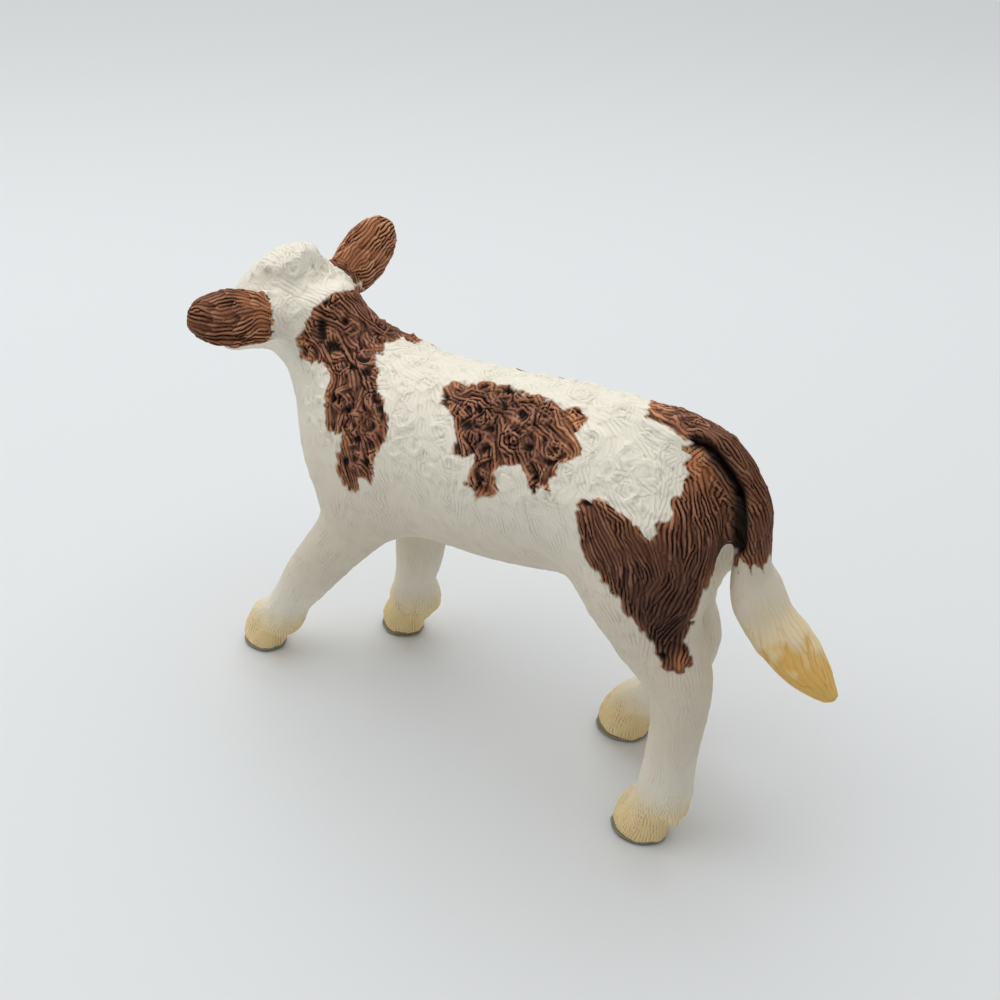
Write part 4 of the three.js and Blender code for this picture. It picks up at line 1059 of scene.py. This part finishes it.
def painted(name, layers):
    """The hand-painted finish of one piece."""
    material = bpy.data.materials.new(name + "_paint")
    paint = Painter(material)
    stroke, stain, low = strokes(paint), paint.noise(STAIN_NOISE), paint.mask("low")
    furrow = paint.times(paint.sums("SUBTRACT", 1.0, stroke), paint.mask("vigour"))
    grain = paint.times(paint.sums("SUBTRACT", paint.noise(GRAIN_NOISE), 0.5), GRAIN_DEPTH)
    # Where the skin lies low it gets a dark wash and painted shade, and where it stands high the brown's
    # painted highlight
    hollow = paint.span(paint.sums("ADD", low, grain), *HOLLOW_EDGE)
    ridge = paint.span(paint.sums("SUBTRACT", grain, low), *RIDGE_EDGE)
    # The white's hollows and furrows get a dark wash and painted shade, whose colour varies at random
    groove = paint.mix(paint.span(stain, *WASH_AND_SHADE_EDGE), WHITE_GROOVE, WHITE_WASH_AND_SHADE)
    # Painted shade on the white, low on the body and on the tail
    colour = paint.mix(paint.mask("white_shade"), WHITE_RIDGE, SHADED_WHITE)
    colour = paint.mix(paint.times(hollow, HOLLOW_WASH_AND_SHADE), colour, groove)
    colour = paint.mix(paint.times(furrow, FURROW_WASH_AND_SHADE), colour, WHITE_GROOVE)
    # A dark wash and painted shade in the hollows and furrows of the cream and ochre
    deep = paint.sums("MAXIMUM", hollow, furrow)
    coats = {
        "cream": lambda: paint.mix(deep, CREAM_RIDGE, CREAM_GROOVE),
        "brown": lambda: brown_paint(paint, stroke, furrow, hollow, ridge, stain),
        "ochre": lambda: paint.mix(deep, OCHRE_RIDGE, OCHRE_GROOVE),
        "hoof": lambda: paint.mix(hollow, HOOF_RIDGE, HOOF_GROOVE),
        "pink": lambda: PINK,
        "nostril": lambda: NOSTRIL,
        "eye": lambda: EYE,
    }
    for layer in layers:
        share = paint.times(paint.mask(layer), COVER.get(layer, 1.0))
        colour = paint.mix(share, colour, coats[layer]())
    roughness = COAT_ROUGHNESS
    if "eye" in layers:
        roughness = paint.span(paint.mask("eye"), *EYE_RIM, COAT_ROUGHNESS, EYE_ROUGHNESS)
    bump = paint.node("ShaderNodeBump")
    height = paint.times(stroke, paint.mask("depth"))
    paint.feed(bump, {"Strength": BUMP_STRENGTH, "Distance": MILLIMETRE, "Height": height})
    paint.feed(paint.shader, {
        "Base Color": colour, "Roughness": roughness, "Specular IOR Level": COAT_SPECULAR,
        "Normal": bump.outputs["Normal"],
    })
    return material


# ---------------- pieces
CREASE_ANGLE = math.radians(50)

for name, mesh in parted().items():
    masked(mesh)
    set_points(mesh, (points_of(mesh) + STANCE) * MILLIMETRE)
    mesh.shade_smooth()
    piece = new_object(name + "_skin", mesh)
    mesh.materials.clear()
    mesh.materials.append(painted(name, PAINT_LAYERS[name]))
    mesh.set_sharp_from_angle(angle=CREASE_ANGLE)
    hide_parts(name)
    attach(piece, "root")

# ---------------- studio
FLOOR_REACH, FLOOR_DROP = 3.0, 0.0002
FLOOR_ROUGHNESS, FLOOR_SPECULAR = 0.8, 0.1
# Painted shade: the floor is painted darker towards the top of the picture
FLOOR_COLOUR, FAR_FLOOR_COLOUR = (224, 227, 229), (204, 207, 208)
FAR_WAY, FAR_EDGE = (-0.82, -0.57), (0.09, 0.26)  # the way the floor runs to the top of the picture
BACKDROP_COLOUR = (221, 221, 220)
BACKDROP_EDGE = (0.24, 0.5)  # where the floor turns into the backdrop, from the middle
WORLD_COLOUR, WORLD_STRENGTH = (244, 244, 243), 0.39
SHOWN_STRENGTH = 0.8  # of the world where the camera or a reflection sees it
MIDDLE = Vector((0.0, 0.0, 0.025))  # what the lamps are aimed at
LAMPS = [  # name, place, width and power
    ("key", (-0.07, -0.13, 0.49), 0.9, 2.95),
    ("fill", (0.3, -0.3, 0.3), 0.4, 0.2),
]
CLIP_START = 0.01

scene = bpy.context.scene
scene.view_settings.view_transform = "Standard"

corners = [(x * FLOOR_REACH, y * FLOOR_REACH, -FLOOR_DROP) for x, y in ((-1, -1), (1, -1), (1, 1), (-1, 1))]
floor_mesh = mesh_of(np.array(corners), np.array([[0, 1, 2, 3]]))
floor = new_object("floor", floor_mesh)
floor_mesh.materials.append(bpy.data.materials.new("floor_paint"))
ground = Painter(floor_mesh.materials[0])
ways = ground.node("ShaderNodeSeparateXYZ")
run = ground.node("ShaderNodeVectorMath", operation="LENGTH")
for node in (ways, run):
    ground.feed(node, {0: ground.place()})
steps = [ground.times(ways.outputs[axis], share) for axis, share in zip("XY", FAR_WAY)]
# Painted shade towards the top of the picture
far = ground.span(ground.sums("ADD", *steps), *FAR_EDGE)
ground.feed(ground.shader, {
    "Base Color": ground.mix(far, FLOOR_COLOUR, FAR_FLOOR_COLOUR),
    "Roughness": FLOOR_ROUGHNESS, "Specular IOR Level": FLOOR_SPECULAR,
})
glow = ground.node("ShaderNodeEmission")
ground.feed(glow, {"Color": BACKDROP_COLOUR})
rays = ground.node("ShaderNodeLightPath").outputs
share = ground.times(ground.span(run.outputs["Value"], *BACKDROP_EDGE), rays["Is Camera Ray"])
blend = ground.node("ShaderNodeMixShader")
ground.feed(blend, {0: share, 1: ground.shader.outputs["BSDF"], 2: glow.outputs["Emission"]})
ground.feed(ground.tree.nodes["Material Output"], {"Surface": blend.outputs["Shader"]})

scene.world = bpy.data.worlds.new("studio")
sky = Painter(scene.world, "Background")
rays = sky.node("ShaderNodeLightPath").outputs
shown = sky.sums("MAXIMUM", rays["Is Camera Ray"], rays["Is Glossy Ray"])
shown = sky.sums("MAXIMUM", shown, rays["Is Transmission Ray"])
strength = sky.span(shown, 0.0, 1.0, WORLD_STRENGTH, SHOWN_STRENGTH)
sky.feed(sky.shader, {"Color": WORLD_COLOUR, "Strength": strength})


def aimed(made, place, way):
    """Puts a lamp or a camera at its place, looking along a way."""
    made.location = place
    made.rotation_euler = way.to_track_quat("-Z", "Y").to_euler()


for name, place, width, power in LAMPS:
    lamp = bpy.data.lights.new(name, "AREA")
    lamp.shape = "DISK"
    lamp.size = width
    lamp.energy = power
    aimed(new_object(name, lamp), place, MIDDLE - Vector(place))

lens = bpy.data.cameras.new("camera")
lens.sensor_width = SENSOR
lens.lens = FOCAL_PIXELS * SENSOR / PICTURE
lens.clip_start = CLIP_START
camera = new_object("camera", lens)
camera_way = Vector(((CAMERA_TARGET - CAMERA_PLACE) * MILLIMETRE).tolist())
aimed(camera, ((CAMERA_PLACE + STANCE) * MILLIMETRE).tolist(), camera_way)
scene.camera = camera

bpy.context.view_layer.update()
